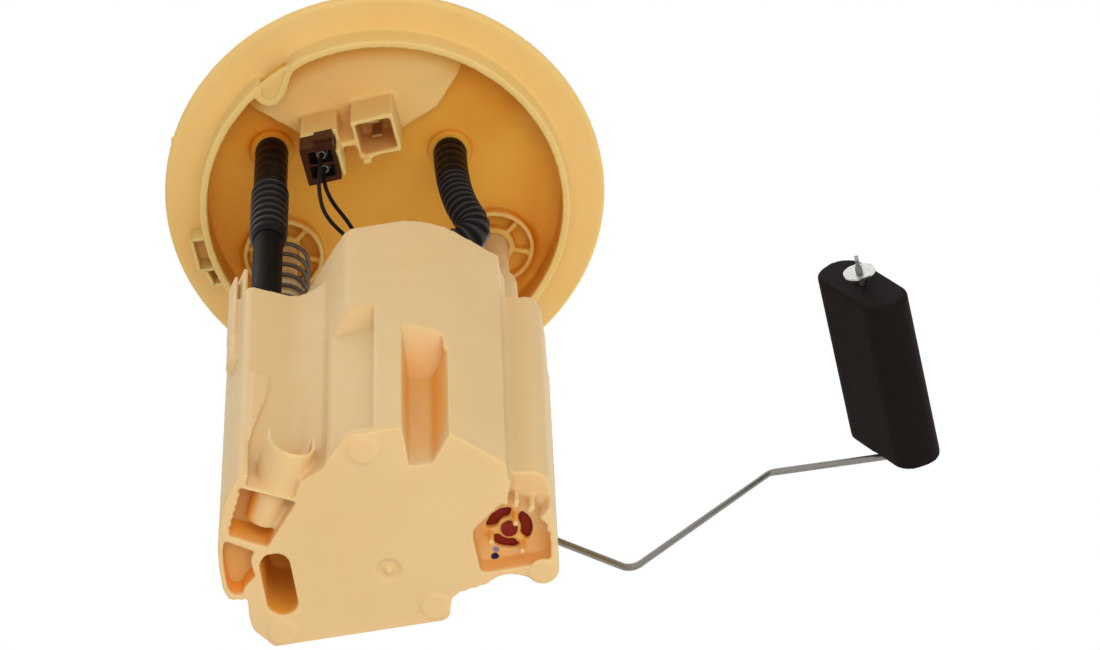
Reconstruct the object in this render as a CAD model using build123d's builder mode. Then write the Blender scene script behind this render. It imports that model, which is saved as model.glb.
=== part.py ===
import os
from math import cos, radians, sin, tan

from build123d import *

os.makedirs("parts", exist_ok=True)

# The frame: origin on the flange axis at the tank seat, +Z up out of the tank, millimetres

# Tank flange
rim_r = 65.0
rim_thick = 3.5
skirt_r = 54.5
skirt_wall = 2.2
skirt_lip_z = -8.0
ceiling_z = 3.0
ceiling_thick = 3.0
top_z = ceiling_z + ceiling_thick
platform_z = -1.5
platform = [(-36, -42), (-33.4, -36.6), (-20.9, -25.4), (-17, -20.5), (8, -21.5), (20.3, -27.2),
            (28.9, -37.4), (32, -45), (0, -56)]
socket_mouth_z = -16.0
plug_socket_at = (-13.8, -25.5)
plug_socket_size = (11.2, 12.4)
spare_socket_at = (2.2, -27.6)
spare_socket_size = (12.8, 12.2)
socket_wall = 1.2
socket_turn = -4.0
blade_size = (2.8, 0.8)
blade_pitch = 4.6
return_root = (-30.3, -20.0)
supply_root = (21.4, -11.0)
nipple_r = 3.2
nipple_end_z = -11.0
spigot_r = 3.95
spigot_z = 13.0

# Guide rods, sleeves and spring
rod_left = (-33.0, 13.8)
rod_right = (29.0, 22.0)
rod_r = 4.2
sleeve_r = 6.4
sleeve_gap = 0.05
sleeve_top_z = -25.0
sleeve_wide_r = 5.3
clip_r = 5.15
hub_ring_r = 12.0
spring_mean_r = 7.5
spring_wire = 1.3
spring_top_z = -0.2

# Reservoir
bucket_floor_z = -207.0
bucket_top_z = bucket_floor_z + 119.5
lobe_top_z = bucket_floor_z + 107.0
spring_seat_z = bucket_floor_z + 121.5
sleeve_step_z = bucket_floor_z + 141.0
sleeve_end_z = bucket_floor_z + 67.0
rod_end_z = sleeve_step_z - 6.0
floor_thick = 2.5
foot_drop = 0.6
feet = [(-0.6, -30.2), (10.0, 19.6), (-31.1, 20.4), (40.0, 14.0)]
gate_at = (-0.2, 6.8)
valve_at = (32.7, 3.9)
valve_floor_z = bucket_floor_z + 7.5
valve_floor_thick = 2.0
tunnel_at = (-29.6, 6.0)
jet_z = bucket_floor_z + 17.0

# Pump
pump_at = (1.0, -2.0)
pump_r = 18.6
pump_case_wall = 0.8
pump_case_base_z = bucket_floor_z + 15.0
pump_case_top_z = pump_case_base_z + 76.0
pump_bore_r = pump_r - pump_case_wall - 0.05
shaft_r = 2.0
bearing_gap = 0.03

# Level sender
back_y = 24.7
pivot_at = (8.0, bucket_floor_z + 81.0)
arm_y = 30.8
arm_r = 1.0
arm_bend_low = (62.0, pivot_at[1] - 59.0)
arm_bend_high = (102.0, pivot_at[1] - 18.0)
float_at = (137.5, pivot_at[1] - 19.0)
float_yaw = 2.8
float_far_y = 27.2
float_near_y = -23.4
float_long = 34.6
float_thick = 13.6
float_tilt = 62.5


def axle_x(y):
    return float_at[0] - (arm_y - y) * tan(radians(float_yaw))


def axle_plane(y):
    return Plane(origin=(axle_x(y), y, float_at[1]), x_dir=(cos(radians(float_yaw)), -sin(radians(float_yaw)), 0),
                 z_dir=(-sin(radians(float_yaw)), -cos(radians(float_yaw)), 0))


# The flange: rim, skirt, ceiling, connector platform, sockets, nipples, rod hubs and the top side
with BuildPart() as tank_flange:
    with BuildSketch(Plane.XY):
        Circle(rim_r)
        Circle(skirt_r - skirt_wall, mode=Mode.SUBTRACT)
    extrude(amount=rim_thick)
    fillet(tank_flange.edges().filter_by(GeomType.CIRCLE).group_by(SortBy.RADIUS)[-1], radius=1.4)
    with BuildSketch(Plane.XY.offset(skirt_lip_z)):
        Circle(skirt_r)
        Circle(skirt_r - skirt_wall, mode=Mode.SUBTRACT)
    extrude(amount=ceiling_z - skirt_lip_z)
    with BuildSketch(Plane.XY.offset(ceiling_z)):
        Circle(skirt_r)
    extrude(amount=ceiling_thick)
    fillet(tank_flange.edges().group_by(Axis.Z)[-1], radius=1.6)
    # Gap in the skirt with the end of the wall curled inward
    with BuildSketch(Plane.XY.offset(skirt_lip_z - 1)):
        with BuildLine():
            gap_a = (49 * cos(radians(237.6)), 49 * sin(radians(237.6)))
            gap_b = (58 * cos(radians(237.6)), 58 * sin(radians(237.6)))
            gap_c = (58 * cos(radians(252)), 58 * sin(radians(252)))
            gap_d = (49 * cos(radians(252)), 49 * sin(radians(252)))
            Polyline(gap_a, gap_b, gap_c, gap_d, gap_a)
        make_face()
    extrude(amount=1 - skirt_lip_z, mode=Mode.SUBTRACT)
    with BuildSketch(Plane.XY.offset(skirt_lip_z)):
        with BuildLine() as hook_line:
            Spline((-16.4, -50.6), (-20.4, -47.4), (-23.0, -42.4), (-26.6, -39.6), (-29.2, -41.0),
                   (-30.0, -43.0))
        trace(line_width=skirt_wall)
    extrude(amount=ceiling_z - skirt_lip_z)
    # Connector platform
    with BuildSketch(Plane.XY.offset(platform_z)):
        Polygon(*platform, align=None)
        Circle(skirt_r - 1.0, mode=Mode.INTERSECT)
    extrude(amount=ceiling_z - platform_z)
    # Two sockets that open downward
    for centre, size in ((plug_socket_at, plug_socket_size), (spare_socket_at, spare_socket_size)):
        with BuildSketch(Plane.XY.offset(socket_mouth_z)):
            with Locations(Location((centre[0], centre[1], 0), (0, 0, socket_turn))):
                RectangleRounded(size[0], size[1], 0.6)
        extrude(amount=platform_z - socket_mouth_z)
        with BuildSketch(Plane.XY.offset(socket_mouth_z)):
            with Locations(Location((centre[0], centre[1], 0), (0, 0, socket_turn))):
                Rectangle(size[0] - 2 * socket_wall, size[1] - 2 * socket_wall)
        extrude(amount=platform_z - socket_mouth_z, mode=Mode.SUBTRACT)
    with Locations(Location((-5.9, -26.6, -9), (0, 0, socket_turn))):
        Box(5.0, 1.6, 14)
    with Locations(Location((plug_socket_at[0], plug_socket_at[1], socket_mouth_z - 3.5), (0, 0, socket_turn))):
        with Locations((plug_socket_size[0] / 2 - socket_wall / 2, 1.4, 0)):
            Box(socket_wall, 8.4, 7.2)
    with Locations(Location((-1.6, -20.9, -11.5), (0, 0, socket_turn))):
        Box(2.6, 1.6, 13)
    # Hose nipples
    for root in (return_root, supply_root):
        with Locations((root[0], root[1], ceiling_z - 0.9)):
            Cylinder(6.4, 1.8)
        with Locations((root[0], root[1], (nipple_end_z + ceiling_z) / 2)):
            Cylinder(nipple_r, ceiling_z - nipple_end_z)
    # Rod hubs: ring, six spokes and a socket
    for rod in (rod_left, rod_right):
        with BuildSketch(Plane.XY.offset(-1.2)):
            with Locations(rod):
                Circle(hub_ring_r)
                Circle(hub_ring_r - 1.3, mode=Mode.SUBTRACT)
        extrude(amount=ceiling_z + 1.2)
        with BuildSketch(Plane.XY.offset(0)):
            with Locations(rod):
                Circle(6.2)
                with PolarLocations(8.6, 6, start_angle=20):
                    Rectangle(6.2, 1.5)
        extrude(amount=ceiling_z)
    # Top side: raised rings over the hubs, two pipe elbows and the harness shroud
    for rod in (rod_left, rod_right):
        with Locations((rod[0], rod[1], top_z)):
            Cylinder(8.5, 6)
    for root, turn in ((return_root, 180), (supply_root, 0)):
        with Locations((root[0], root[1], (ceiling_z + spigot_z + 5) / 2)):
            Cylinder(6.2, spigot_z + 5 - ceiling_z)
        with Locations(Location((root[0], root[1], spigot_z), (0, 90 if turn == 0 else -90, 0))):
            Cylinder(spigot_r, 30, align=(Align.CENTER, Align.CENTER, Align.MIN))
            with Locations((0, 0, 19)):
                Cylinder(5.1, 2.2)
            with Locations((0, 0, 6.8)):
                Cylinder(5.4, 2.6)
        with Locations((root[0], root[1], (nipple_end_z - 1 + spigot_z) / 2)):
            Cylinder(2.0, spigot_z - nipple_end_z + 1, mode=Mode.SUBTRACT)
        with Locations(Location((root[0], root[1], spigot_z), (0, 90 if turn == 0 else -90, 0))):
            Cylinder(2.2, 31, align=(Align.CENTER, Align.CENTER, Align.MIN), mode=Mode.SUBTRACT)
    with BuildSketch(Plane.XY.offset(top_z - 0.5)):
        with Locations((-5.0, -28.0)):
            RectangleRounded(31, 19, 3)
    extrude(amount=16)
    with BuildSketch(Plane.XY.offset(top_z)):
        with Locations((-5.0, -28.0)):
            RectangleRounded(27.4, 15.4, 1.6)
    extrude(amount=16, mode=Mode.SUBTRACT)
    with Locations((-5.0, -38.0, 13.5)):
        Box(8, 3, 10)
    # Radial stiffening ribs on the top
    for angle in (30, 60, 90, 120, 150, 200, 340):
        with Locations(Location((0, 0, top_z + 0.7), (0, 0, angle))):
            with Locations((33, 0, 0)):
                Box(26, 1.6, 1.6)
    # Holes for the rods and for the blades
    for rod in (rod_left, rod_right):
        with Locations((rod[0], rod[1], 2)):
            Cylinder(rod_r, 10, mode=Mode.SUBTRACT)
    for centre in (plug_socket_at, spare_socket_at):
        for side in (-1, 1):
            with Locations(Location((centre[0], centre[1] + side * blade_pitch / 2, 2), (0, 0, 0))):
                Box(blade_size[0], blade_size[1], 9, mode=Mode.SUBTRACT)
tank_flange.part.label = "tank_flange"
export_step(tank_flange.part, "parts/tank_flange.step")

# Four tinned blades that pass through the flange
with BuildPart() as flange_terminals:
    for centre in (plug_socket_at, spare_socket_at):
        for side in (-1, 1):
            with Locations((centre[0], centre[1] + side * blade_pitch / 2, 1.5)):
                Box(blade_size[0], blade_size[1], 24)
flange_terminals.part.label = "flange_terminals"
export_step(flange_terminals.part, "parts/flange_terminals.step")

# Guide rods with their clips
with BuildPart() as guide_rod_left:
    with Locations((rod_left[0], rod_left[1], (7 + rod_end_z) / 2)):
        Cylinder(rod_r, 7 - rod_end_z)
    with Locations((rod_left[0], rod_left[1], sleeve_step_z - 1.4)):
        Cylinder(rod_r + 1, 2.04, mode=Mode.SUBTRACT)
        Cylinder(rod_r - 0.7, 2.04)
    chamfer(guide_rod_left.edges().group_by(Axis.Z)[0], length=0.8)
guide_rod_left.part.label = "guide_rod_left"
export_step(guide_rod_left.part, "parts/guide_rod_left.step")

with BuildPart() as guide_rod_right:
    with Locations((rod_right[0], rod_right[1], (7 + rod_end_z) / 2)):
        Cylinder(rod_r, 7 - rod_end_z)
    with Locations((rod_right[0], rod_right[1], sleeve_step_z - 1.4)):
        Cylinder(rod_r + 1, 2.04, mode=Mode.SUBTRACT)
        Cylinder(rod_r - 0.7, 2.04)
    chamfer(guide_rod_right.edges().group_by(Axis.Z)[0], length=0.8)
guide_rod_right.part.label = "guide_rod_right"
export_step(guide_rod_right.part, "parts/guide_rod_right.step")

with BuildPart() as rod_clip_left:
    with Locations((rod_left[0], rod_left[1], sleeve_step_z - 1.4)):
        Cylinder(clip_r, 2.0)
        Cylinder(rod_r - 0.7, 2.0, mode=Mode.SUBTRACT)
        with Locations((4, 0, 0)):
            Box(8, 4.6, 3, mode=Mode.SUBTRACT)
rod_clip_left.part.label = "rod_clip_left"
export_step(rod_clip_left.part, "parts/rod_clip_left.step")

with BuildPart() as rod_clip_right:
    with Locations((rod_right[0], rod_right[1], sleeve_step_z - 1.4)):
        Cylinder(clip_r, 2.0)
        Cylinder(rod_r - 0.7, 2.0, mode=Mode.SUBTRACT)
        with Locations((4, 0, 0)):
            Box(8, 4.6, 3, mode=Mode.SUBTRACT)
rod_clip_right.part.label = "rod_clip_right"
export_step(rod_clip_right.part, "parts/rod_clip_right.step")

# The coil spring round the left sleeve
with BuildPart() as guide_spring:
    spring_turns = 12.75
    spring_height = spring_top_z - spring_seat_z - spring_wire - 0.1
    with BuildLine(Plane((rod_left[0], rod_left[1], spring_seat_z + spring_wire / 2 + 0.05))) as coil_line:
        Helix(pitch=spring_height / spring_turns, height=spring_height, radius=spring_mean_r)
    with BuildSketch(Plane(origin=coil_line.line @ 0, z_dir=coil_line.line % 0)):
        Circle(spring_wire / 2)
    sweep(is_frenet=True)
guide_spring.part.label = "guide_spring"
export_step(guide_spring.part, "parts/guide_spring.step")

# The two-way plug in the left socket
with BuildPart() as pump_plug:
    plug_turn = (0, 0, socket_turn)
    with Locations(Location((plug_socket_at[0], plug_socket_at[1], socket_mouth_z - 4.05), plug_turn)):
        with Locations((-0.7, 0, 0)):
            Box(plug_socket_size[0] - 1.3, plug_socket_size[1] - 0.4, 8.0)
    fillet(pump_plug.edges().filter_by(Axis.Z), radius=0.5)
    with Locations(Location((plug_socket_at[0], plug_socket_at[1], (socket_mouth_z - 5.5) / 2), plug_turn)):
        Box(plug_socket_size[0] - 2 * socket_wall - 0.1, plug_socket_size[1] - 2 * socket_wall - 0.1,
            -3.5 - socket_mouth_z)
    with Locations(Location((plug_socket_at[0] + 1.2, plug_socket_at[1] - 6.4, socket_mouth_z - 3.4), plug_turn)):
        Box(5.4, 1.4, 5.5)
    for side in (-1, 1):
        with Locations((plug_socket_at[0], plug_socket_at[1] + side * blade_pitch / 2, -14)):
            Box(3.7, 3.2, 24, mode=Mode.SUBTRACT)
        with Locations((plug_socket_at[0] - 0.5, plug_socket_at[1] + side * blade_pitch / 2, socket_mouth_z - 6.5)):
            Box(6.6, 3.8, 5.0, mode=Mode.SUBTRACT)
pump_plug.part.label = "pump_plug"
export_step(pump_plug.part, "parts/pump_plug.step")

# Crimp terminals in the plug, each one open at the blade end
with BuildPart() as plug_terminals:
    for side in (-1, 1):
        with Locations((plug_socket_at[0], plug_socket_at[1] + side * blade_pitch / 2, -12.5)):
            Box(3.6, 3.1, 15.0)
            with Locations((0, 0, -8.8)):
                Cylinder(1.35, 3.2)
            with Locations((0, 0, 2.5)):
                Box(blade_size[0] + 0.06, blade_size[1] + 0.06, 12, mode=Mode.SUBTRACT)
            with Locations((0, 0, -8.5)):
                Cylinder(0.9, 4.4, mode=Mode.SUBTRACT)
plug_terminals.part.label = "plug_terminals"
export_step(plug_terminals.part, "parts/plug_terminals.step")

# Return hose: corrugated sleeve on the left nipple
with BuildPart() as return_hose:
    hose_end_z = -58.0
    with Locations((return_root[0], return_root[1], (ceiling_z - 1.85 + hose_end_z) / 2)):
        Cylinder(4.5, ceiling_z - 1.85 - hose_end_z)
    for step in range(15):
        with Locations((return_root[0], return_root[1], -12.5 - step * 2.7)):
            Cylinder(5.2, 1.5)
    with Locations((return_root[0], return_root[1], hose_end_z + 2.5)):
        Cylinder(5.3, 5)
    with Locations((return_root[0], return_root[1], -3.4)):
        Cylinder(5.0, 9)
    with Locations((return_root[0], return_root[1], -28)):
        Cylinder(nipple_r + 0.02, 70, mode=Mode.SUBTRACT)
return_hose.part.label = "return_hose"
export_step(return_hose.part, "parts/return_hose.step")

# Return tube: the plain pipe below it, down to the jet nozzle
with BuildPart() as return_tube:
    tube_top_z = -52.0
    tube_end_z = bucket_floor_z + 33.0
    with Locations((return_root[0], return_root[1], (-58.1 + tube_end_z) / 2)):
        Cylinder(4.3, -58.1 - tube_end_z)
    with Locations((return_root[0], return_root[1], (tube_top_z - 60) / 2)):
        Cylinder(nipple_r - 0.06, 60 + tube_top_z)
    with Locations((return_root[0], return_root[1], (tube_top_z + tube_end_z) / 2)):
        Cylinder(2.2, tube_top_z - tube_end_z + 2, mode=Mode.SUBTRACT)
return_tube.part.label = "return_tube"
export_step(return_tube.part, "parts/return_tube.step")

# Supply hose: from the right nipple over to the pump outlet
with BuildPart() as supply_hose:
    hose_low_z = bucket_floor_z + 122.0
    hose_turn_z = -14 + 0.38 * (hose_low_z + 14)
    with BuildLine() as supply_line:
        FilletPolyline((supply_root[0], supply_root[1], ceiling_z - 1.9), (supply_root[0], supply_root[1], -14),
                       (33.5, 1.0, hose_turn_z), (pump_at[0], -6.0, hose_turn_z - 3),
                       (pump_at[0], pump_at[1], hose_low_z), (pump_at[0], pump_at[1], pump_case_top_z + 18),
                       radius=7.5)
    with BuildSketch(Plane(origin=supply_line.line @ 0, z_dir=supply_line.line % 0)):
        Circle(4.6)
        Circle(nipple_r + 0.04, mode=Mode.SUBTRACT)
    sweep()
supply_hose.part.label = "supply_hose"
export_step(supply_hose.part, "parts/supply_hose.step")

# Pump leads from the plug to the outlet cap
lead_r = 0.75
lead_start_y = blade_pitch / 2
lead_top_z = -27.0
lead_end_z = pump_case_top_z + 12.6


def lead_z(share):
    return lead_top_z + share * (lead_end_z - lead_top_z)


with BuildPart() as pump_lead_live:
    with BuildLine() as live_line:
        Spline((plug_socket_at[0], plug_socket_at[1] - lead_start_y, -19.0),
               (plug_socket_at[0] - 0.4, plug_socket_at[1] - lead_start_y, lead_top_z),
               (-14.5, -27.0, lead_z(0.22)), (-11.5, -24.0, lead_z(0.4)), (-6.0, -18.6, lead_z(0.54)),
               (-5.2, -12.0, lead_z(0.74)),
               (-7.0, -9.0, lead_z(0.9)), (-7.0, -9.0, lead_end_z), tangents=[(0, 0, -1), (0, 0, -1)])
    with BuildSketch(Plane(origin=live_line.line @ 0, z_dir=live_line.line % 0)):
        Circle(lead_r)
    sweep()
pump_lead_live.part.label = "pump_lead_live"
export_step(pump_lead_live.part, "parts/pump_lead_live.step")

with BuildPart() as pump_lead_earth:
    with BuildLine() as earth_line:
        Spline((plug_socket_at[0], plug_socket_at[1] + lead_start_y, -19.0),
               (plug_socket_at[0] + 0.3, plug_socket_at[1] + lead_start_y, lead_top_z),
               (-12.2, -21.0, lead_z(0.16)), (-8.5, -16.0, lead_z(0.24)), (-5.0, -9.0, lead_z(0.39)),
               (-5.0, 0.0, lead_z(0.64)),
               (-7.0, 5.0, lead_z(0.9)), (-7.0, 5.0, lead_end_z), tangents=[(0, 0, -1), (0, 0, -1)])
    with BuildSketch(Plane(origin=earth_line.line @ 0, z_dir=earth_line.line % 0)):
        Circle(lead_r)
    sweep()
pump_lead_earth.part.label = "pump_lead_earth"
export_step(pump_lead_earth.part, "parts/pump_lead_earth.step")

# The reservoir bucket
main_front_left = (-4.4, -35.3)
main_front_right = (10.1, -35.3)
lobe_valley = [(-11.6, -26.6), (-15.6, -24.7), (-19.4, -23.5), (-23.4, -24.0)]
side_lobe = [(-23.4, -24.0), (-33.4, -28.9), (-36.4, -25.1), (-39.3, -20.6), (-41.2, -15.9), (-42.7, -10.8),
             (-43.7, -6.4), (-44.3, -1.1), (-44.5, 5.1), (-43.4, 8.4), (-39.8, 9.1), (-37.0, 7.0), (-11.6, -26.6)]
side_lobe_inside = [(-22.6, -15.4), (-24.0, -22.2), (-33.4, -26.4), (-37.0, -22.0), (-41.2, -10.6),
                    (-42.0, -3.0), (-41.0, 3.0), (-38.2, 4.4)]

with BuildPart() as reservoir_bucket:
    with BuildSketch(Plane.XY.offset(bucket_floor_z)) as bucket_plan:
        with BuildLine():
            Line(main_front_left, main_front_right)
            ThreePointArc(main_front_right, (17.6, -33.5), (24.4, -29.7))
            Polyline((24.4, -29.7), (35.6, -19.6), (35.4, -14.6), (36.8, -12.7), (41.6, -12.2))
            ThreePointArc((41.6, -12.2), (44.2, -10.6), (45.4, -7.4))
            Polyline((45.4, -7.4), (45.3, 0), (44.2, 12.4))
            ThreePointArc((44.2, 12.4), (40.6, 18.0), (36.2, 16.0))
            ThreePointArc((36.2, 16.0), (30.6, 13.7), (24.7, 15.6))
            Polyline((24.7, 15.6), (17.3, 16.8), (14.9, 18.2), (13.8, 21.6))
            ThreePointArc((13.8, 21.6), (12.8, 24.0), (10.5, back_y))
            Polyline((10.5, back_y), (-34.2, back_y), (-38.9, 18.6), (-39.2, 14.6), (-38.3, 6.4), (-9.1, -30.2),
                     main_front_left)
        make_face()
    extrude(amount=bucket_top_z - bucket_floor_z)
    with BuildSketch(Plane.XY.offset(bucket_floor_z)):
        with BuildLine():
            Spline(*lobe_valley, tangents=[(-0.9, 0.43), (-0.898, -0.44)])
            Polyline(*side_lobe)
        make_face()
    extrude(amount=lobe_top_z - bucket_floor_z)
    fillet(reservoir_bucket.edges().filter_by(Axis.Z).filter_by_position(Axis.X, -34.5, -32.5)
           .filter_by_position(Axis.Y, -30, -28), radius=2.0)
    fillet(reservoir_bucket.edges().filter_by(Axis.Z).filter_by_position(Axis.X, -5.5, 11)
           .filter_by_position(Axis.Y, -36, -34.8), radius=5.0)
    # The right compartment stands lower
    with Locations((46.0, 0, bucket_top_z)):
        Box(20, 60, 2 * (bucket_top_z - lobe_top_z), mode=Mode.SUBTRACT)
    # Hollow inside
    with BuildSketch(Plane.XY.offset(bucket_floor_z + floor_thick)):
        with BuildLine():
            Line((-3.4, -33.3), (9.6, -33.3))
            ThreePointArc((9.6, -33.3), (16.8, -31.6), (23.2, -27.9))
            Polyline((23.2, -27.9), (33.6, -18.5), (33.5, -13.6), (35.4, -10.9), (40.8, -10.4))
            ThreePointArc((40.8, -10.4), (42.6, -9.2), (43.4, -7.0))
            Polyline((43.4, -7.0), (43.3, 0), (42.4, 11.6))
            ThreePointArc((42.4, 11.6), (40.4, 15.9), (37.0, 14.3))
            ThreePointArc((37.0, 14.3), (30.6, 11.9), (24.2, 13.8))
            Polyline((24.2, 13.8), (16.7, 14.9), (13.2, 17.0), (12.0, 20.9))
            ThreePointArc((12.0, 20.9), (11.4, 22.1), (9.8, 22.7))
            Polyline((9.8, 22.7), (-33.4, 22.7), (-37.0, 18.2), (-37.3, 14.6), (-36.2, 7.0), (-7.8, -28.8),
                     (-3.4, -33.3))
        make_face()
    extrude(amount=130, mode=Mode.SUBTRACT)
    with BuildSketch(Plane.XY.offset(jet_z + 10)):
        Polygon(*side_lobe_inside, align=None)
    extrude(amount=100, mode=Mode.SUBTRACT)
    # Front groove and left facet: inner skins first, then the cuts
    with BuildSketch(Plane.XY.offset(bucket_floor_z)):
        Polygon((8.6, -34.3), (8.6, -21.0), (18.0, -21.0), (25.2, -27.0), (20.0, -30.4), align=None)
    extrude(amount=60)
    with BuildSketch(Plane.XY.offset(bucket_floor_z)):
        Polygon((-11.4, -26.4), (-10.6, -28.8), (-4.0, -34.6), (5.0, -34.6), (5.0, -29.6), align=None)
    extrude(amount=76)
    with BuildSketch(Plane.XY.offset(bucket_floor_z - 1)):
        Polygon((10.5, -40), (10.5, -23.2), (16.6, -23.2), (22.4, -31.0), (24, -40), align=None)
    extrude(amount=49, mode=Mode.SUBTRACT)
    with BuildSketch(Plane.YZ.offset(10.5)):
        with BuildLine():
            groove_z = bucket_floor_z + 47
            Polyline((-40, groove_z), (-40, groove_z + 13), (-36, groove_z + 11), (-23.2, groove_z + 1.5),
                     (-23.2, groove_z), (-40, groove_z))
        make_face()
    extrude(amount=10.6, mode=Mode.SUBTRACT)
    with BuildSketch(Plane.XY.offset(bucket_floor_z + 3)):
        Polygon((3.0, -40), (3.0, -31.8), (-9.4, -30.2), (-14, -40), align=None)
    extrude(amount=63, mode=Mode.SUBTRACT)
    with BuildSketch(Plane.YZ.offset(-12)):
        with BuildLine():
            facet_z = bucket_floor_z + 65
            Polyline((-40, facet_z), (-40, facet_z + 10), (-35.4, facet_z + 7), (-31.0, facet_z + 1),
                     (-31.0, facet_z), (-40, facet_z))
        make_face()
    extrude(amount=15, mode=Mode.SUBTRACT)
    # Valve pocket with its raised floor, slots, posts and comb
    with BuildSketch(Plane.XY.offset(bucket_floor_z)):
        Polygon((22.2, -2.6), (31.2, -9.8), (36.6, -11.8), (41.4, -11.4), (44.6, -7.0), (44.6, -1), (43.4, 12.4),
                (37, 15), (30.6, 12.9), (22.2, 13.7), align=None)
    extrude(amount=valve_floor_z + valve_floor_thick - bucket_floor_z)
    with BuildSketch(Plane.XY.offset(bucket_floor_z - 1)):
        Polygon((23.4, 0.9), (24.0, -1.5), (32.4, -7.8), (36.0, -6.6), (39.6, -4.4), (42.4, -1.6), (43.7, 2.2),
                (42.5, 11.7), (24.4, 12.0), (23.6, 10.8), align=None)
    extrude(amount=valve_floor_z - bucket_floor_z + 1, mode=Mode.SUBTRACT)
    with BuildSketch(Plane.XY.offset(bucket_floor_z - 1)):
        Polygon((34.2, -7.0), (34.2, -8.9), (36.3, -14.6), (43.0, -14.6), (47.0, -10.0), (47.0, -6.4), (44.0, -4.0),
                (42.2, -1.4), (39.4, -4.2), (35.8, -6.4), align=None)
    extrude(amount=valve_floor_z - bucket_floor_z + 0.4, mode=Mode.SUBTRACT)
    with BuildSketch(Plane.XY.offset(valve_floor_z)):
        with Locations(valve_at):
            Circle(6.2)
            Circle(3.2, mode=Mode.SUBTRACT)
            with PolarLocations(5, 3, start_angle=58):
                Rectangle(5, 2.2, mode=Mode.SUBTRACT)
            Circle(1.95)
    extrude(amount=valve_floor_thick, mode=Mode.SUBTRACT)
    with Locations((valve_at[0], valve_at[1], valve_floor_z - 3.1)):
        with PolarLocations(5.0, 3, start_angle=58):
            Cylinder(0.85, 6.6)
    for tooth in [(36.2, -6.9, -67), (39.8, -4.6, -50), (42.8, -1.8, -34), (44.0, 1.8, -14)]:
        with Locations(Location((tooth[0], tooth[1], (bucket_floor_z + valve_floor_z) / 2 + 0.3), (0, 0, tooth[2]))):
            Box(2.4, 1.4, valve_floor_z - bucket_floor_z)
    # Feet and the moulding gate
    for foot in feet:
        with Locations((foot[0], foot[1], bucket_floor_z)):
            Cylinder(3.7, foot_drop * 2)
    with Locations((gate_at[0], gate_at[1], bucket_floor_z)):
        Cylinder(3.5, 1.6, mode=Mode.SUBTRACT)
        Cylinder(0.8, 1.0)
    with Locations((gate_at[0], gate_at[1], bucket_floor_z + 0.6)):
        Cylinder(1.4, 0.6)
    # Blind tunnel in the back left of the floor
    with BuildSketch(Plane.XY.offset(bucket_floor_z)):
        with Locations(tunnel_at):
            SlotCenterToCenter(10.8, 11.2, rotation=90)
    extrude(amount=27)
    with BuildSketch(Plane.XY.offset(bucket_floor_z - 1)):
        with Locations(tunnel_at):
            SlotCenterToCenter(10.8, 8.2, rotation=90)
    extrude(amount=26, mode=Mode.SUBTRACT)
    # Jet pump housing under the side lobe: set-back front wall, fin, chamber, end pocket, comb, tube and trough
    lobe_plane = Plane(origin=(-26.6, -25.57, bucket_floor_z + 57), x_dir=(0.898, 0.44, 0), z_dir=(0.44, -0.898, 0))
    with BuildSketch(Plane(origin=(-31.45, -27.95, bucket_floor_z), x_dir=(-0.44, 0.898, 0), z_dir=(0.898, 0.44, 0))):
        Polygon((3.4, -1), (3.4, 11), (1.0, 27), (-0.1, 54), (-4, 54), (-4, -1), align=None)
    extrude(amount=13.4, mode=Mode.SUBTRACT)
    with BuildSketch(lobe_plane.offset(-2.0)):
        Polygon((-5.6, -0.3), (-1.0, -0.3), (-1.25, -11.7), (-5.0, -34), (-5.4, -38.5), (-5.6, -38.5), align=None)
    extrude(amount=2.7)
    with BuildSketch(Plane.XY.offset(bucket_floor_z - 1)):
        Polygon((-33.9, -24.3), (-20.6, -17.8), (-30.6, -5.6), (-40.6, -11.2), (-39.6, -15.4), (-37.6, -20.0),
                (-35.0, -24.0), align=None)
    extrude(amount=24, mode=Mode.SUBTRACT)
    with BuildSketch(Plane.XY.offset(bucket_floor_z - 1)):
        Polygon((-41.4, -9.4), (-34.2, -5.0), (-35.6, -2.4), (-35.5, 1.0), (-35.4, 2.6), (-38.8, 5.4), (-39.6, 7.4),
                (-42.3, 7.0), (-43.2, 4.6), (-43.0, -1.2), (-42.4, -6.2), align=None)
    extrude(amount=18, mode=Mode.SUBTRACT)
    for step in range(6):
        with Locations((-35.6 - 0.94 * step, -22.6 + 2.08 * step, bucket_floor_z + 3.2)):
            Cylinder(0.9, 6.0)
    trough_plane = Plane(origin=(-24.3, -21.4, bucket_floor_z + 7.4), x_dir=(0.897, 0.442, 0),
                         z_dir=(0.442, -0.897, 0))
    with BuildSketch(trough_plane.offset(-13)):
        with Locations((-1.2, 0)):
            Circle(4.6)
    extrude(amount=12.6)
    with BuildSketch(trough_plane.offset(-1.0)):
        Circle(6.4)
        with Locations((0, 3.05)):
            Rectangle(12.8, 6.1)
        Circle(5.5, mode=Mode.SUBTRACT)
        with Locations((0, 5.0)):
            Rectangle(11.0, 10.0, mode=Mode.SUBTRACT)
    extrude(amount=12.6)
    with BuildSketch(trough_plane.offset(-14)):
        with Locations((-1.2, 0)):
            Circle(2.8)
    extrude(amount=16, mode=Mode.SUBTRACT)
    # Tall thin tab on the lobe's front corner
    with BuildSketch(Plane.XY.offset(lobe_top_z - 4)):
        Polygon((-35.4, -26.4), (-39.1, -20.6), (-38.0, -19.9), (-34.3, -25.7), align=None)
    extrude(amount=20)
    with BuildSketch(Plane.XY.offset(lobe_top_z - 36)):
        Polygon((-36.2, -24.9), (-37.9, -26.1), (-40.8, -21.6), (-39.1, -20.4), align=None)
    extrude(amount=33)
    with BuildSketch(Plane.XY.offset(lobe_top_z - 4)):
        Polygon((-37.1, -25.6), (-37.9, -26.1), (-40.8, -21.6), (-40.0, -21.1), align=None)
    extrude(amount=17)
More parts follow.
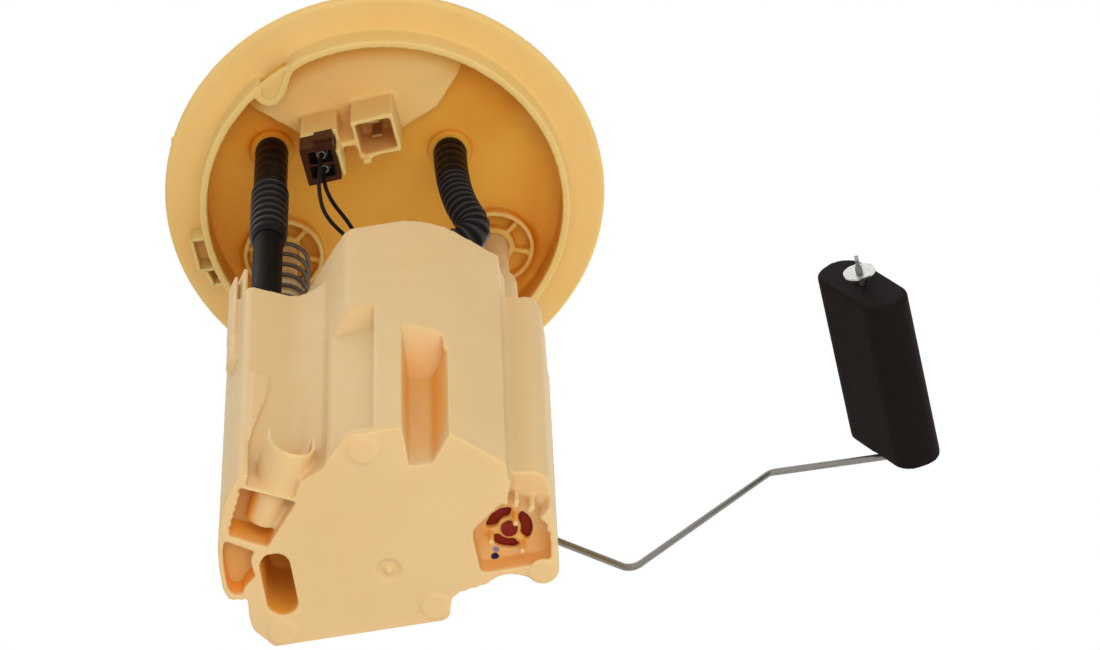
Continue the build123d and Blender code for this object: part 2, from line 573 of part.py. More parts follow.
    # Sleeves for the two guide rods
    for rod in (rod_left, rod_right):
        with Locations((rod[0], rod[1], (sleeve_top_z + sleeve_end_z) / 2)):
            Cylinder(sleeve_r, sleeve_top_z - sleeve_end_z)
    with Locations((rod_left[0], rod_left[1], spring_seat_z - 1.2)):
        Cylinder(9.6, 2.4)
    with Locations((rod_right[0], rod_right[1] - 7.0, bucket_floor_z + 88)):
        Box(6, 7, 40)
    for rod in (rod_left, rod_right):
        with Locations((rod[0], rod[1], (sleeve_top_z + sleeve_step_z) / 2)):
            Cylinder(rod_r + sleeve_gap, sleeve_top_z - sleeve_step_z + 1, mode=Mode.SUBTRACT)
        with Locations((rod[0], rod[1], (sleeve_step_z + sleeve_end_z) / 2 - 1)):
            Cylinder(sleeve_wide_r, sleeve_step_z - sleeve_end_z + 2, mode=Mode.SUBTRACT)
    # Ledges for the pump holder
    with Locations((-2.0, 21.6, pump_case_top_z - 16.6)):
        Box(22, 2.6, 5)
    with Locations((0.5, -32.2, pump_case_top_z - 11.0)):
        Box(9, 2.6, 5)
reservoir_bucket.part.label = "reservoir_bucket"
export_step(reservoir_bucket.part, "parts/reservoir_bucket.step")

# Jet nozzle at the foot of the return tube
with BuildPart() as jet_nozzle:
    with Locations((return_root[0], return_root[1], bucket_floor_z + 30.0)):
        Cylinder(4.3, 5.9)
    with Locations((return_root[0], return_root[1], bucket_floor_z + 34.5)):
        Cylinder(2.15, 4)
    with Locations((return_root[0], return_root[1], bucket_floor_z + 31)):
        Cylinder(1.1, 14, mode=Mode.SUBTRACT)
jet_nozzle.part.label = "jet_nozzle"
export_step(jet_nozzle.part, "parts/jet_nozzle.step")

# Inlet valve: rubber disc over the slots, stem and bulb
with BuildPart() as inlet_valve:
    with Locations((valve_at[0], valve_at[1], valve_floor_z + valve_floor_thick + 0.72)):
        Cylinder(7.0, 1.4)
    with Locations((valve_at[0], valve_at[1], valve_floor_z + 0.3)):
        Cylinder(1.9, 5)
    with Locations((valve_at[0], valve_at[1], valve_floor_z - 1.75)):
        Cylinder(2.2, 0.9)
inlet_valve.part.label = "inlet_valve"
export_step(inlet_valve.part, "parts/inlet_valve.step")

# Pump holder: collar that hangs between the back ledge and the front ledge
with BuildPart() as pump_holder:
    with BuildSketch(Plane.XY.offset(pump_case_top_z - 14.0)):
        with Locations(pump_at):
            Circle(21.7)
            Circle(20.35, mode=Mode.SUBTRACT)
    extrude(amount=26)
    with Locations((0.5, -28.2, pump_case_top_z - 3.0)):
        Box(7, 10.0, 10.9)
    with Locations((-2.0, 20.6, pump_case_top_z - 8.0)):
        Box(14, 4.0, 12)
    with BuildSketch(Plane.XY.offset(pump_case_top_z + 10.0)):
        with Locations(pump_at):
            Circle(21.7)
            Circle(17.0, mode=Mode.SUBTRACT)
    extrude(amount=2)
    with Locations((pump_at[0], pump_at[1], pump_case_top_z - 3.0)):
        Cylinder(20.35, 26, mode=Mode.SUBTRACT)
    with BuildSketch(Plane.XY.offset(pump_case_top_z - 6.0)):
        with Locations(pump_at):
            with PolarLocations(21, 4, start_angle=35):
                Rectangle(8, 9)
    extrude(amount=10, mode=Mode.SUBTRACT)
pump_holder.part.label = "pump_holder"
export_step(pump_holder.part, "parts/pump_holder.step")

# Rubber damper between the holder and the case
with BuildPart() as pump_damper:
    with BuildSketch(Plane.XY.offset(pump_case_top_z - 13.5)):
        with Locations(pump_at):
            Circle(20.3)
            Circle(pump_r + 0.02, mode=Mode.SUBTRACT)
    extrude(amount=20)
    for step in range(4):
        with BuildSketch(Plane.XY.offset(pump_case_top_z - 11.0 + step * 4.4)):
            with Locations(pump_at):
                Circle(20.8)
                Circle(19.7, mode=Mode.SUBTRACT)
        extrude(amount=2.0, mode=Mode.SUBTRACT)
pump_damper.part.label = "pump_damper"
export_step(pump_damper.part, "parts/pump_damper.step")

with BuildPart() as pump_case:
    with BuildSketch(Plane.XY.offset(pump_case_base_z)):
        with Locations(pump_at):
            Circle(pump_r)
            Circle(pump_r - pump_case_wall, mode=Mode.SUBTRACT)
    extrude(amount=pump_case_top_z - pump_case_base_z)
pump_case.part.label = "pump_case"
export_step(pump_case.part, "parts/pump_case.step")

# Outlet cap with its spigot and two lead posts
with BuildPart() as pump_outlet_cap:
    with Locations((pump_at[0], pump_at[1], pump_case_top_z - 4)):
        Cylinder(pump_bore_r, 8)
    with Locations((pump_at[0], pump_at[1], pump_case_top_z + 4)):
        Cylinder(16.8, 8)
    with Locations((pump_at[0], pump_at[1], pump_case_top_z + 1)):
        Cylinder(pump_r - 0.3, 1.9)
    with Locations((pump_at[0], pump_at[1], pump_case_top_z + 17.0)):
        Cylinder(nipple_r - 0.06, 19)
    for post in (-9.0, 5.0):
        with Locations((-7.0, post, pump_case_top_z + 9.0)):
            Cylinder(2.2, 7)
    with Locations((pump_at[0], pump_at[1], pump_case_top_z + 12.0)):
        Cylinder(1.9, 40, mode=Mode.SUBTRACT)
    with Locations((pump_at[0], pump_at[1], pump_case_top_z - 6)):
        Cylinder(shaft_r + bearing_gap, 8, mode=Mode.SUBTRACT)
    with BuildSketch(Plane.XY.offset(pump_case_top_z - 8.5)):
        with Locations(pump_at):
            with PolarLocations(8.4, 2, start_angle=90):
                Rectangle(3.6, 4.4)
    extrude(amount=5.5, mode=Mode.SUBTRACT)
pump_outlet_cap.part.label = "pump_outlet_cap"
export_step(pump_outlet_cap.part, "parts/pump_outlet_cap.step")

with BuildPart() as pump_brushes:
    with BuildSketch(Plane.XY.offset(pump_case_top_z - 10.5)):
        with Locations(pump_at):
            with PolarLocations(8.4, 2, start_angle=90):
                Rectangle(3.5, 4.3)
    extrude(amount=7.45)
pump_brushes.part.label = "pump_brushes"
export_step(pump_brushes.part, "parts/pump_brushes.step")

# Inlet cover, volute plate, impeller and armature
with BuildPart() as pump_inlet_cover:
    with Locations((pump_at[0], pump_at[1], pump_case_base_z + 2)):
        Cylinder(pump_bore_r, 8)
    with Locations((pump_at[0], pump_at[1], pump_case_base_z - 1.05)):
        Cylinder(pump_r - 0.2, 2.0)
    with Locations((pump_at[0] - 8, pump_at[1], pump_case_base_z - 4)):
        Cylinder(5.0, 6)
    with Locations((pump_at[0] - 8, pump_at[1], pump_case_base_z - 1)):
        Cylinder(3.2, 16, mode=Mode.SUBTRACT)
    with Locations((pump_at[0], pump_at[1], pump_case_base_z + 4)):
        Cylinder(shaft_r + bearing_gap, 4.2, mode=Mode.SUBTRACT)
pump_inlet_cover.part.label = "pump_inlet_cover"
export_step(pump_inlet_cover.part, "parts/pump_inlet_cover.step")

with BuildPart() as pump_volute:
    with BuildSketch(Plane.XY.offset(pump_case_base_z + 6.02)):
        with Locations(pump_at):
            Circle(pump_bore_r)
            Circle(16.4, mode=Mode.SUBTRACT)
    extrude(amount=4.4)
    with BuildSketch(Plane.XY.offset(pump_case_base_z + 10.4)):
        with Locations(pump_at):
            Circle(pump_bore_r)
            Circle(shaft_r + bearing_gap, mode=Mode.SUBTRACT)
    extrude(amount=4)
    with Locations((pump_at[0] + 13, pump_at[1], pump_case_base_z + 12)):
        Cylinder(2.0, 6, mode=Mode.SUBTRACT)
pump_volute.part.label = "pump_volute"
export_step(pump_volute.part, "parts/pump_volute.step")

with BuildPart() as pump_impeller:
    with BuildSketch(Plane.XY.offset(pump_case_base_z + 6.3)):
        with Locations(pump_at):
            Circle(16.0)
            Circle(shaft_r + 0.01, mode=Mode.SUBTRACT)
            with PolarLocations(14.4, 24):
                Rectangle(2.2, 1.5, mode=Mode.SUBTRACT)
    extrude(amount=3.8)
pump_impeller.part.label = "pump_impeller"
export_step(pump_impeller.part, "parts/pump_impeller.step")

with BuildPart() as pump_armature:
    with Locations((pump_at[0], pump_at[1], pump_case_base_z + 40.0)):
        Cylinder(14.6, 34)
        with PolarLocations(14.2, 8):
            Box(2.4, 1.8, 40, mode=Mode.SUBTRACT)
    with Locations((pump_at[0], pump_at[1], pump_case_base_z + 57.8)):
        Cylinder(11.2, 1.8)
    with Locations((pump_at[0], pump_at[1], pump_case_base_z + 38.75)):
        Cylinder(shaft_r, 69.5)
pump_armature.part.label = "pump_armature"
export_step(pump_armature.part, "parts/pump_armature.step")

with BuildPart() as pump_commutator:
    with BuildSketch(Plane.XY.offset(pump_case_base_z + 58.8)):
        with Locations(pump_at):
            Circle(11.2)
            Circle(shaft_r + 0.01, mode=Mode.SUBTRACT)
            with PolarLocations(8, 8, start_angle=22.5):
                Rectangle(7, 0.5, mode=Mode.SUBTRACT)
    extrude(amount=6.4)
pump_commutator.part.label = "pump_commutator"
export_step(pump_commutator.part, "parts/pump_commutator.step")

with BuildPart() as pump_magnets:
    with BuildSketch(Plane.XY.offset(pump_case_base_z + 22.0)):
        with Locations(pump_at):
            Circle(pump_bore_r)
            Circle(15.2, mode=Mode.SUBTRACT)
            with PolarLocations(17, 2, start_angle=0):
                Rectangle(6, 9, mode=Mode.SUBTRACT)
    extrude(amount=36)
pump_magnets.part.label = "pump_magnets"
export_step(pump_magnets.part, "parts/pump_magnets.step")

# Fabric strainer under the pump inlet
with BuildPart() as pump_strainer:
    with BuildSketch(Plane.XY.offset(bucket_floor_z + floor_thick + 0.1)):
        with Locations((-2.0, 1.0)):
            RectangleRounded(34, 24, 7)
    extrude(amount=5.2)
    fillet(pump_strainer.edges().group_by(Axis.Z)[-1], radius=1.8)
    with Locations((pump_at[0] - 8, pump_at[1], pump_case_base_z - 4.0)):
        Cylinder(3.15, 7)
    with Locations((pump_at[0] - 8, pump_at[1], pump_case_base_z - 4.0)):
        Cylinder(2.3, 8, mode=Mode.SUBTRACT)
pump_strainer.part.label = "pump_strainer"
export_step(pump_strainer.part, "parts/pump_strainer.step")

# Level sender: carrier on the back wall, resistor card and pivot
with BuildPart() as sender_carrier:
    with BuildSketch(Plane.XZ.offset(-back_y - 0.02)):
        with Locations((0.0, pivot_at[1] - 1.0)):
            RectangleRounded(34, 54, 3)
    extrude(amount=-3.2)
    with BuildSketch(Plane.XZ.offset(-back_y - 3)):
        with Locations((0.0, pivot_at[1] - 1.0)):
            RectangleRounded(34, 54, 3)
            RectangleRounded(31, 51, 2, mode=Mode.SUBTRACT)
    extrude(amount=-0.4)
    with Locations(Location((pivot_at[0], back_y + 3.2, pivot_at[1]), (-90, 0, 0))):
        Cylinder(2.4, 7.0, align=(Align.CENTER, Align.CENTER, Align.MIN))
    for side in (-11, 11):
        with Locations((side - 2, back_y + 1.63, pivot_at[1] + 24.8)):
            Box(4, 3.2, 6)
    with BuildSketch(Plane.XZ.offset(-back_y - 2.2)):
        with Locations((-5.0, pivot_at[1])):
            Rectangle(18.06, 34.06)
    extrude(amount=-6, mode=Mode.SUBTRACT)
sender_carrier.part.label = "sender_carrier"
export_step(sender_carrier.part, "parts/sender_carrier.step")

with BuildPart() as resistor_card:
    with Locations((-5.0, back_y + 2.75, pivot_at[1])):
        Box(18, 1.1, 34)
resistor_card.part.label = "resistor_card"
export_step(resistor_card.part, "parts/resistor_card.step")

# Hub on the pivot, wiper finger, wire arm, push nut and float
arm_exit = (arm_bend_low[0] - pivot_at[0], arm_bend_low[1] - pivot_at[1])
arm_exit_long = (arm_exit[0] ** 2 + arm_exit[1] ** 2) ** 0.5
arm_unit = (arm_exit[0] / arm_exit_long, arm_exit[1] / arm_exit_long)
wire_start = (pivot_at[0] + 6.0 * arm_unit[0], pivot_at[1] + 6.0 * arm_unit[1])

with BuildPart() as sender_hub:
    with Locations(Location((pivot_at[0], back_y + 3.5, pivot_at[1]), (-90, 0, 0))):
        Cylinder(5.6, 6.4, align=(Align.CENTER, Align.CENTER, Align.MIN))
    hub_plane = Plane(origin=(pivot_at[0], back_y + 3.5, pivot_at[1]), x_dir=(arm_unit[0], 0, arm_unit[1]),
                      z_dir=(0, 1, 0))
    with BuildSketch(hub_plane.offset(0.9)):
        with Locations((14, 0)):
            RectangleRounded(24, 7.2, 1.2)
    extrude(amount=3.7)
    with BuildSketch(hub_plane):
        with Locations((-10, 0)):
            RectangleRounded(16, 6, 1.2)
    extrude(amount=3.2)
    with Locations(Location((pivot_at[0], back_y + 3, pivot_at[1]), (-90, 0, 0))):
        Cylinder(2.45, 9, align=(Align.CENTER, Align.CENTER, Align.MIN), mode=Mode.SUBTRACT)
    with BuildSketch(Plane(origin=(wire_start[0], arm_y, wire_start[1]), x_dir=(0, 1, 0),
                           z_dir=(arm_unit[0], 0, arm_unit[1]))):
        Circle(arm_r + 0.01)
    extrude(amount=24, mode=Mode.SUBTRACT)
sender_hub.part.label = "sender_hub"
export_step(sender_hub.part, "parts/sender_hub.step")

with BuildPart() as sender_wiper:
    with Locations(Location((pivot_at[0] - 16.5 * arm_unit[0], back_y + 3.42, pivot_at[1] - 16.5 * arm_unit[1]),
                            (0, 47.5, 0))):
        Box(9, 0.1, 3)
sender_wiper.part.label = "sender_wiper"
export_step(sender_wiper.part, "parts/sender_wiper.step")

with BuildPart() as float_arm:
    with BuildLine() as arm_line:
        FilletPolyline((wire_start[0], arm_y, wire_start[1]), (arm_bend_low[0], arm_y, arm_bend_low[1]),
                       (arm_bend_high[0], arm_y, arm_bend_high[1]), (float_at[0], arm_y, float_at[1]),
                       (axle_x(float_near_y - 5.4), float_near_y - 5.4, float_at[1]), radius=3.5)
    with BuildSketch(Plane(origin=arm_line.line @ 0, z_dir=arm_line.line % 0)):
        Circle(arm_r)
    sweep()
    with BuildSketch(axle_plane(float_near_y - 4.6)):
        Rectangle(1.1, 2.9)
    extrude(amount=3.4)
float_arm.part.label = "float_arm"
export_step(float_arm.part, "parts/float_arm.step")

with BuildPart() as float_block:
    with BuildSketch(axle_plane(float_far_y)):
        SlotOverall(float_long, float_thick, rotation=-float_tilt)
        Circle(arm_r + 0.08, mode=Mode.SUBTRACT)
    extrude(amount=(float_far_y - float_near_y) / cos(radians(float_yaw)))
float_block.part.label = "float_block"
export_step(float_block.part, "parts/float_block.step")

with BuildPart() as float_nut:
    with BuildSketch(axle_plane(float_near_y - 3.4)):
        Circle(4.4)
        Circle(arm_r + 0.01, mode=Mode.SUBTRACT)
    extrude(amount=0.5)
float_nut.part.label = "float_nut"
export_step(float_nut.part, "parts/float_nut.step")
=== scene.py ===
import math

import bmesh
import bpy
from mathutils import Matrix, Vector


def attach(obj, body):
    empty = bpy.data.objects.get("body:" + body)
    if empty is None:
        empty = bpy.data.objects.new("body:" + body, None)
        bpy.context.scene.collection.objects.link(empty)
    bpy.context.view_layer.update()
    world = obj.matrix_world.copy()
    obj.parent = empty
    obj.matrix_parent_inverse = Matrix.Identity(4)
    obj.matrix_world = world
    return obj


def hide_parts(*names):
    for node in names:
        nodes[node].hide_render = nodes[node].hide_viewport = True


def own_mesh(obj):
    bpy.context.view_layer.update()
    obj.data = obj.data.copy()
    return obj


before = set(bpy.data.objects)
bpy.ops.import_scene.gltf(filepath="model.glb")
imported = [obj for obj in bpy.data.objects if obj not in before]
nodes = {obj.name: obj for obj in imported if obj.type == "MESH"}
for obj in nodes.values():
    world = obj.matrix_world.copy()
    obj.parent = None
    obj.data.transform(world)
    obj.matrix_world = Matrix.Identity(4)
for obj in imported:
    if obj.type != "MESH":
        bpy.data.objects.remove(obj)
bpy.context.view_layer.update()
scene = bpy.context.scene
mm = 0.001


def hexColour(text):
    channels = [int(text[i:i + 2], 16) / 255 for i in (1, 3, 5)]
    return tuple(c / 12.92 if c <= 0.04045 else ((c + 0.055) / 1.055) ** 2.4 for c in channels) + (1.0,)


def addNode(tree, kind, inputs=(), **settings):
    node = tree.nodes.new(kind)
    for key, value in settings.items():
        setattr(node, key, value)
    for key, value in dict(inputs).items():
        if isinstance(value, bpy.types.NodeSocket):
            tree.links.new(value, node.inputs[key])
        else:
            node.inputs[key].default_value = value
    return node


def newMaterial(name):
    material = bpy.data.materials.new(name)
    material.use_nodes = True
    tree = material.node_tree
    return material, tree, tree.nodes["Principled BSDF"], addNode(tree, "ShaderNodeTexCoord").outputs["Object"]


def linkObject(name, mesh, material=None):
    piece = bpy.data.objects.new(name, mesh)
    scene.collection.objects.link(piece)
    if material:
        mesh.materials.clear()
        mesh.materials.append(material)
    return piece


# the evaluated result of a piece with live modifiers, as a plain mesh
def settle(piece):
    graph = bpy.context.evaluated_depsgraph_get()
    mesh = bpy.data.meshes.new_from_object(piece.evaluated_get(graph))
    piece.modifiers.clear()
    if piece.type == "MESH":
        piece.data = mesh
        return piece
    name = piece.name
    bpy.data.objects.remove(piece)
    return linkObject(name, mesh)


def runTree(piece, tree, values):
    modifier = piece.modifiers.new("build", "NODES")
    modifier.node_group = tree
    for item in tree.interface.items_tree:
        if item.in_out == "INPUT" and item.name in values:
            modifier[item.identifier] = values[item.name]
    piece.update_tag()
    return settle(piece)


def newTree(name, sizes):
    tree = bpy.data.node_groups.new(name, "GeometryNodeTree")
    tree.interface.new_socket("Geometry", in_out="INPUT", socket_type="NodeSocketGeometry")
    for label, kind in sizes.items():
        tree.interface.new_socket(label, in_out="INPUT", socket_type="NodeSocket" + kind)
    tree.interface.new_socket("Geometry", in_out="OUTPUT", socket_type="NodeSocketGeometry")
    return tree, addNode(tree, "NodeGroupInput").outputs


# every tree ends the same way: real geometry, smooth, with its finish
def endTree(tree, geometry, finish):
    real = addNode(tree, "GeometryNodeRealizeInstances", {"Geometry": geometry})
    smooth = addNode(tree, "GeometryNodeSetShadeSmooth", {"Geometry": real.outputs["Geometry"]})
    dressed = addNode(tree, "GeometryNodeSetMaterial", {"Geometry": smooth.outputs["Geometry"], "Material": finish})
    addNode(tree, "NodeGroupOutput", {"Geometry": dressed.outputs["Geometry"]})


# Camera: below the module and in front of it, looking up at the open side of the flange
cameraFacts = {"azimuth": 10.0, "elevation": -63.4, "distance": 1.7, "lens": 188.1,
               "originPixel": (385, 197), "frame": (1100, 650), "focalPixels": 5748, "clip": (0.05, 20)}
turn, tilt = math.radians(cameraFacts["azimuth"]), math.radians(cameraFacts["elevation"])
awayFromFlange = Vector((math.sin(turn) * math.cos(tilt), -math.cos(turn) * math.cos(tilt), math.sin(tilt)))
cameraData = bpy.data.cameras.new("photoCamera")
cameraData.lens = cameraFacts["lens"]
cameraData.clip_start, cameraData.clip_end = cameraFacts["clip"]
camera = bpy.data.objects.new("photoCamera", cameraData)
scene.collection.objects.link(camera)
camera.location = awayFromFlange * cameraFacts["distance"]
facing = (-awayFromFlange).to_track_quat("-Z", "Y")
viewRight, viewUp = facing @ Vector((1, 0, 0)), facing @ Vector((0, 1, 0))
originRay = Vector((cameraFacts["originPixel"][0] - cameraFacts["frame"][0] / 2,
                    cameraFacts["frame"][1] / 2 - cameraFacts["originPixel"][1], -cameraFacts["focalPixels"]))
camera.rotation_mode = "QUATERNION"
camera.rotation_quaternion = facing @ originRay.rotation_difference(Vector((0, 0, -1)))
scene.camera = camera
scene.view_settings.view_transform = "Standard"
print("camera set")


# Acetal, injection moulded: cream, a little translucent, satin; painted shade turns it more orange in recesses, and on
# the flange over its recessed interior and inner skirt wall
acetalFlange = {"name": "acetalFlange", "pale": "#EDCC86", "warm": "#E7C071", "glow": 0.35, "roughness": (0.45, 0.58),
                "deep": {"colour": "#D07806", "most": 0.95, "span": (0.16, 0.52)},
                "interiorShade": {"colour": "#E5AC42", "radius": (52.6, 53.4), "height": (-1.3, 0.9), "wall": (45.0, 51.0),
                          "wallHeight": (-8.2, -5.4), "roof": 4.4, "outside": 0.5}}
acetalBucket = {"name": "acetalBucket", "pale": "#E9C893", "warm": "#E1BC84", "glow": 0.4, "roughness": (0.44, 0.58),
                "deep": {"colour": "#F4A936", "most": 0.92, "span": (0.27, 0.62)},
                "ink": [{"colour": "#8C87A0", "at": (28.2, 9.6, -199.5), "radius": 0.85},
                        {"colour": "#2E1C4A", "at": (27.6, 11.8, -199.5), "radius": 1.15}]}
acetalSmall = {"name": "acetalSmall", "pale": "#E6C48C", "warm": "#DDB476", "glow": 0.15, "roughness": (0.4, 0.52)}
acetalFacts = {"driftMm": 26, "grainMm": 0.9, "ripple": 0.06, "rippleMm": 0.2, "inkBlot": 0.5, "inkEdge": (0.1, 0.45),
               "scatter": (1.0, 0.48, 0.16), "scatterMm": 4.5, "sheen": 0.1}
grainMiddle = (0.3, 0.7)


def makeAcetal(look):
    material, tree, shader, place = newMaterial(look["name"])
    drift = addNode(tree, "ShaderNodeTexNoise", {"Vector": place, "Scale": 1 / (acetalFacts["driftMm"] * mm),
                                                 "Detail": 3.0, "Roughness": 0.5})
    tone = addNode(tree, "ShaderNodeMix", {"Factor": drift.outputs["Fac"], "A": hexColour(look["pale"]),
                                           "B": hexColour(look["warm"])}, data_type="RGBA").outputs["Result"]
    # painted shade: a more orange tone over the flange's recessed interior and along its inner skirt wall, placed by
    # position
    if "interiorShade" in look:
        facts = look["interiorShade"]
        axes = addNode(tree, "ShaderNodeSeparateXYZ", {"Vector": place}).outputs
        flat = addNode(tree, "ShaderNodeCombineXYZ", {"X": axes["X"], "Y": axes["Y"]}).outputs["Vector"]
        reach = addNode(tree, "ShaderNodeVectorMath", {0: flat}, operation="LENGTH").outputs["Value"]
        inside = addNode(tree, "ShaderNodeMapRange", {"Value": reach, "From Min": facts["radius"][0] * mm, "To Min": 1.0,
                                                      "From Max": facts["radius"][1] * mm, "To Max": 0.0}).outputs["Result"]
        high = addNode(tree, "ShaderNodeMapRange", {"Value": axes["Z"], "From Min": facts["height"][0] * mm,
                                                    "From Max": facts["height"][1] * mm}).outputs["Result"]
        nearWall = addNode(tree, "ShaderNodeMapRange", {"Value": reach, "From Min": facts["wall"][0] * mm,
                                                        "From Max": facts["wall"][1] * mm}).outputs["Result"]
        onWall = addNode(tree, "ShaderNodeMapRange", {"Value": axes["Z"], "From Min": facts["wallHeight"][0] * mm,
                                                      "From Max": facts["wallHeight"][1] * mm}).outputs["Result"]
        onWall = addNode(tree, "ShaderNodeMath", {0: nearWall, 1: onWall}, operation="MULTIPLY").outputs[0]
        high = addNode(tree, "ShaderNodeMath", {0: high, 1: onWall}, operation="MAXIMUM").outputs[0]
        under = addNode(tree, "ShaderNodeMath", {0: axes["Z"], 1: facts["roof"] * mm}, operation="LESS_THAN").outputs[0]
        interiorShadeMask = addNode(tree, "ShaderNodeMath", {0: inside, 1: high}, operation="MULTIPLY").outputs[0]
        interiorShadeMask = addNode(tree, "ShaderNodeMath", {0: interiorShadeMask, 1: under}, operation="MULTIPLY").outputs[0]
        tone = addNode(tree, "ShaderNodeMix", {"Factor": interiorShadeMask, "A": tone, "B": hexColour(facts["colour"])},
                       data_type="RGBA").outputs["Result"]
    # painted shade: the tone moves toward the recess colour as the recess share grows
    if "deep" in look:
        deep = look["deep"]
        recess = addNode(tree, "ShaderNodeAttribute", attribute_name="recess").outputs["Fac"]
        recess = addNode(tree, "ShaderNodeMapRange", {"Value": recess, "From Min": deep["span"][0], "From Max": deep["span"][1],
                                                      "To Max": deep["most"]}).outputs["Result"]
        # away from the flange's interior, the painted recess shade is scaled down to the outside share
        if "interiorShade" in look:
            interiorShadeMask = addNode(tree, "ShaderNodeMapRange", {"Value": interiorShadeMask, "To Min": facts["outside"]}).outputs["Result"]
            recess = addNode(tree, "ShaderNodeMath", {0: recess, 1: interiorShadeMask}, operation="MULTIPLY").outputs[0]
        tone = addNode(tree, "ShaderNodeMix", {"Factor": recess, "A": tone, "B": hexColour(deep["colour"])},
                       data_type="RGBA").outputs["Result"]
    grain = addNode(tree, "ShaderNodeTexNoise", {"Vector": place, "Scale": 1 / (acetalFacts["grainMm"] * mm), "Detail": 4.0})
    for facts in look.get("ink", []):
        centre = tuple(part * mm for part in facts["at"])
        inner, outer = [(facts["radius"] + edge) * mm for edge in acetalFacts["inkEdge"]]
        away = addNode(tree, "ShaderNodeVectorMath", {0: place, 1: centre}, operation="DISTANCE")
        blot = addNode(tree, "ShaderNodeMath", {0: grain.outputs["Fac"], 1: acetalFacts["inkBlot"] * mm,
                                                2: away.outputs["Value"]}, operation="MULTIPLY_ADD")
        spot = addNode(tree, "ShaderNodeMapRange", {"Value": blot.outputs[0], "From Min": inner, "To Min": 1.0,
                                                    "From Max": outer, "To Max": 0.0}).outputs["Result"]
        tone = addNode(tree, "ShaderNodeMix", {"Factor": spot, "A": tone, "B": hexColour(facts["colour"])},
                       data_type="RGBA").outputs["Result"]
    satin = addNode(tree, "ShaderNodeMapRange", {"Value": grain.outputs["Fac"], "From Min": grainMiddle[0],
                                                 "From Max": grainMiddle[1],
                                                 "To Min": look["roughness"][0], "To Max": look["roughness"][1]})
    ripple = addNode(tree, "ShaderNodeBump", {"Height": grain.outputs["Fac"], "Strength": acetalFacts["ripple"],
                                              "Distance": acetalFacts["rippleMm"] * mm})
    tree.links.new(tone, shader.inputs["Base Color"])
    tree.links.new(satin.outputs["Result"], shader.inputs["Roughness"])
    tree.links.new(ripple.outputs["Normal"], shader.inputs["Normal"])
    shader.inputs["Subsurface Weight"].default_value = look["glow"]
    shader.inputs["Subsurface Radius"].default_value = acetalFacts["scatter"]
    shader.inputs["Subsurface Scale"].default_value = acetalFacts["scatterMm"] * mm
    shader.inputs["Specular IOR Level"].default_value = acetalFacts["sheen"]
    return material


# Plain moulded or extruded plastics and rubbers: two close tones, fine grain, satin; hoses with a painted highlight on
# their rings' ridge tops, the plug with painted shade in its two cavities, the card printed with its tracks
plainLooks = {
    "nylonHose": {"dark": "#0D0A09", "light": "#161210", "roughness": (0.34, 0.42), "grainMm": 0.7, "bump": 0.02, "sheen": 0.07,
                  "crestHighlight": "#3F3A38"},
    "nylonTube": {"dark": "#0F0D0C", "light": "#191614", "roughness": (0.42, 0.54), "grainMm": 0.9, "bump": 0.05, "sheen": 0.015},
    "leadJacket": {"dark": "#0B0908", "light": "#14100F", "roughness": (0.38, 0.48), "grainMm": 0.6, "bump": 0.03, "sheen": 0.08},
    "plugPolyester": {"dark": "#331608", "light": "#4C2411", "roughness": (0.38, 0.5), "grainMm": 1.2, "bump": 0.06,
                      "sheen": 0.18, "wellShade": {"colour": "#0A0403", "centre": (-13.8, -25.5), "apart": 2.3,
                                               "half": (3.35, 1.95)}},
    "capNylon": {"dark": "#1A1918", "light": "#282624", "roughness": (0.4, 0.55), "grainMm": 1.0, "bump": 0.06},
    "damperRubber": {"dark": "#191716", "light": "#242120", "roughness": (0.6, 0.75), "grainMm": 0.8, "bump": 0.1},
    "valveRubber": {"dark": "#6B0D06", "light": "#94200D", "roughness": (0.35, 0.5), "grainMm": 1.5, "bump": 0.04},
    "nitrileFoam": {"dark": "#120E0C", "light": "#221A17", "roughness": (0.7, 0.85), "grainMm": 0.8, "bump": 0.35, "sheen": 0.06},
    "brushCarbon": {"dark": "#1B1A19", "light": "#2B2A29", "roughness": (0.55, 0.7), "grainMm": 0.5, "bump": 0.1},
    "ferrite": {"dark": "#2A2828", "light": "#3A3736", "roughness": (0.6, 0.75), "grainMm": 0.9, "bump": 0.12},
    "impellerResin": {"dark": "#2C1A10", "light": "#3E2717", "roughness": (0.4, 0.55), "grainMm": 0.8, "bump": 0.06},
    "cardCeramic": {"dark": "#D9D3C4", "light": "#E8E3D7", "roughness": (0.45, 0.6), "grainMm": 0.7, "bump": 0.05,
                    "tracks": {"colour": "#2B2824", "pivot": (8.0, 0.0, -126.0), "bands": [(13.6, 1.1), (17.4, 0.8)]}},
}

plainFacts = {"rippleMm": 0.4, "sheen": 0.4}


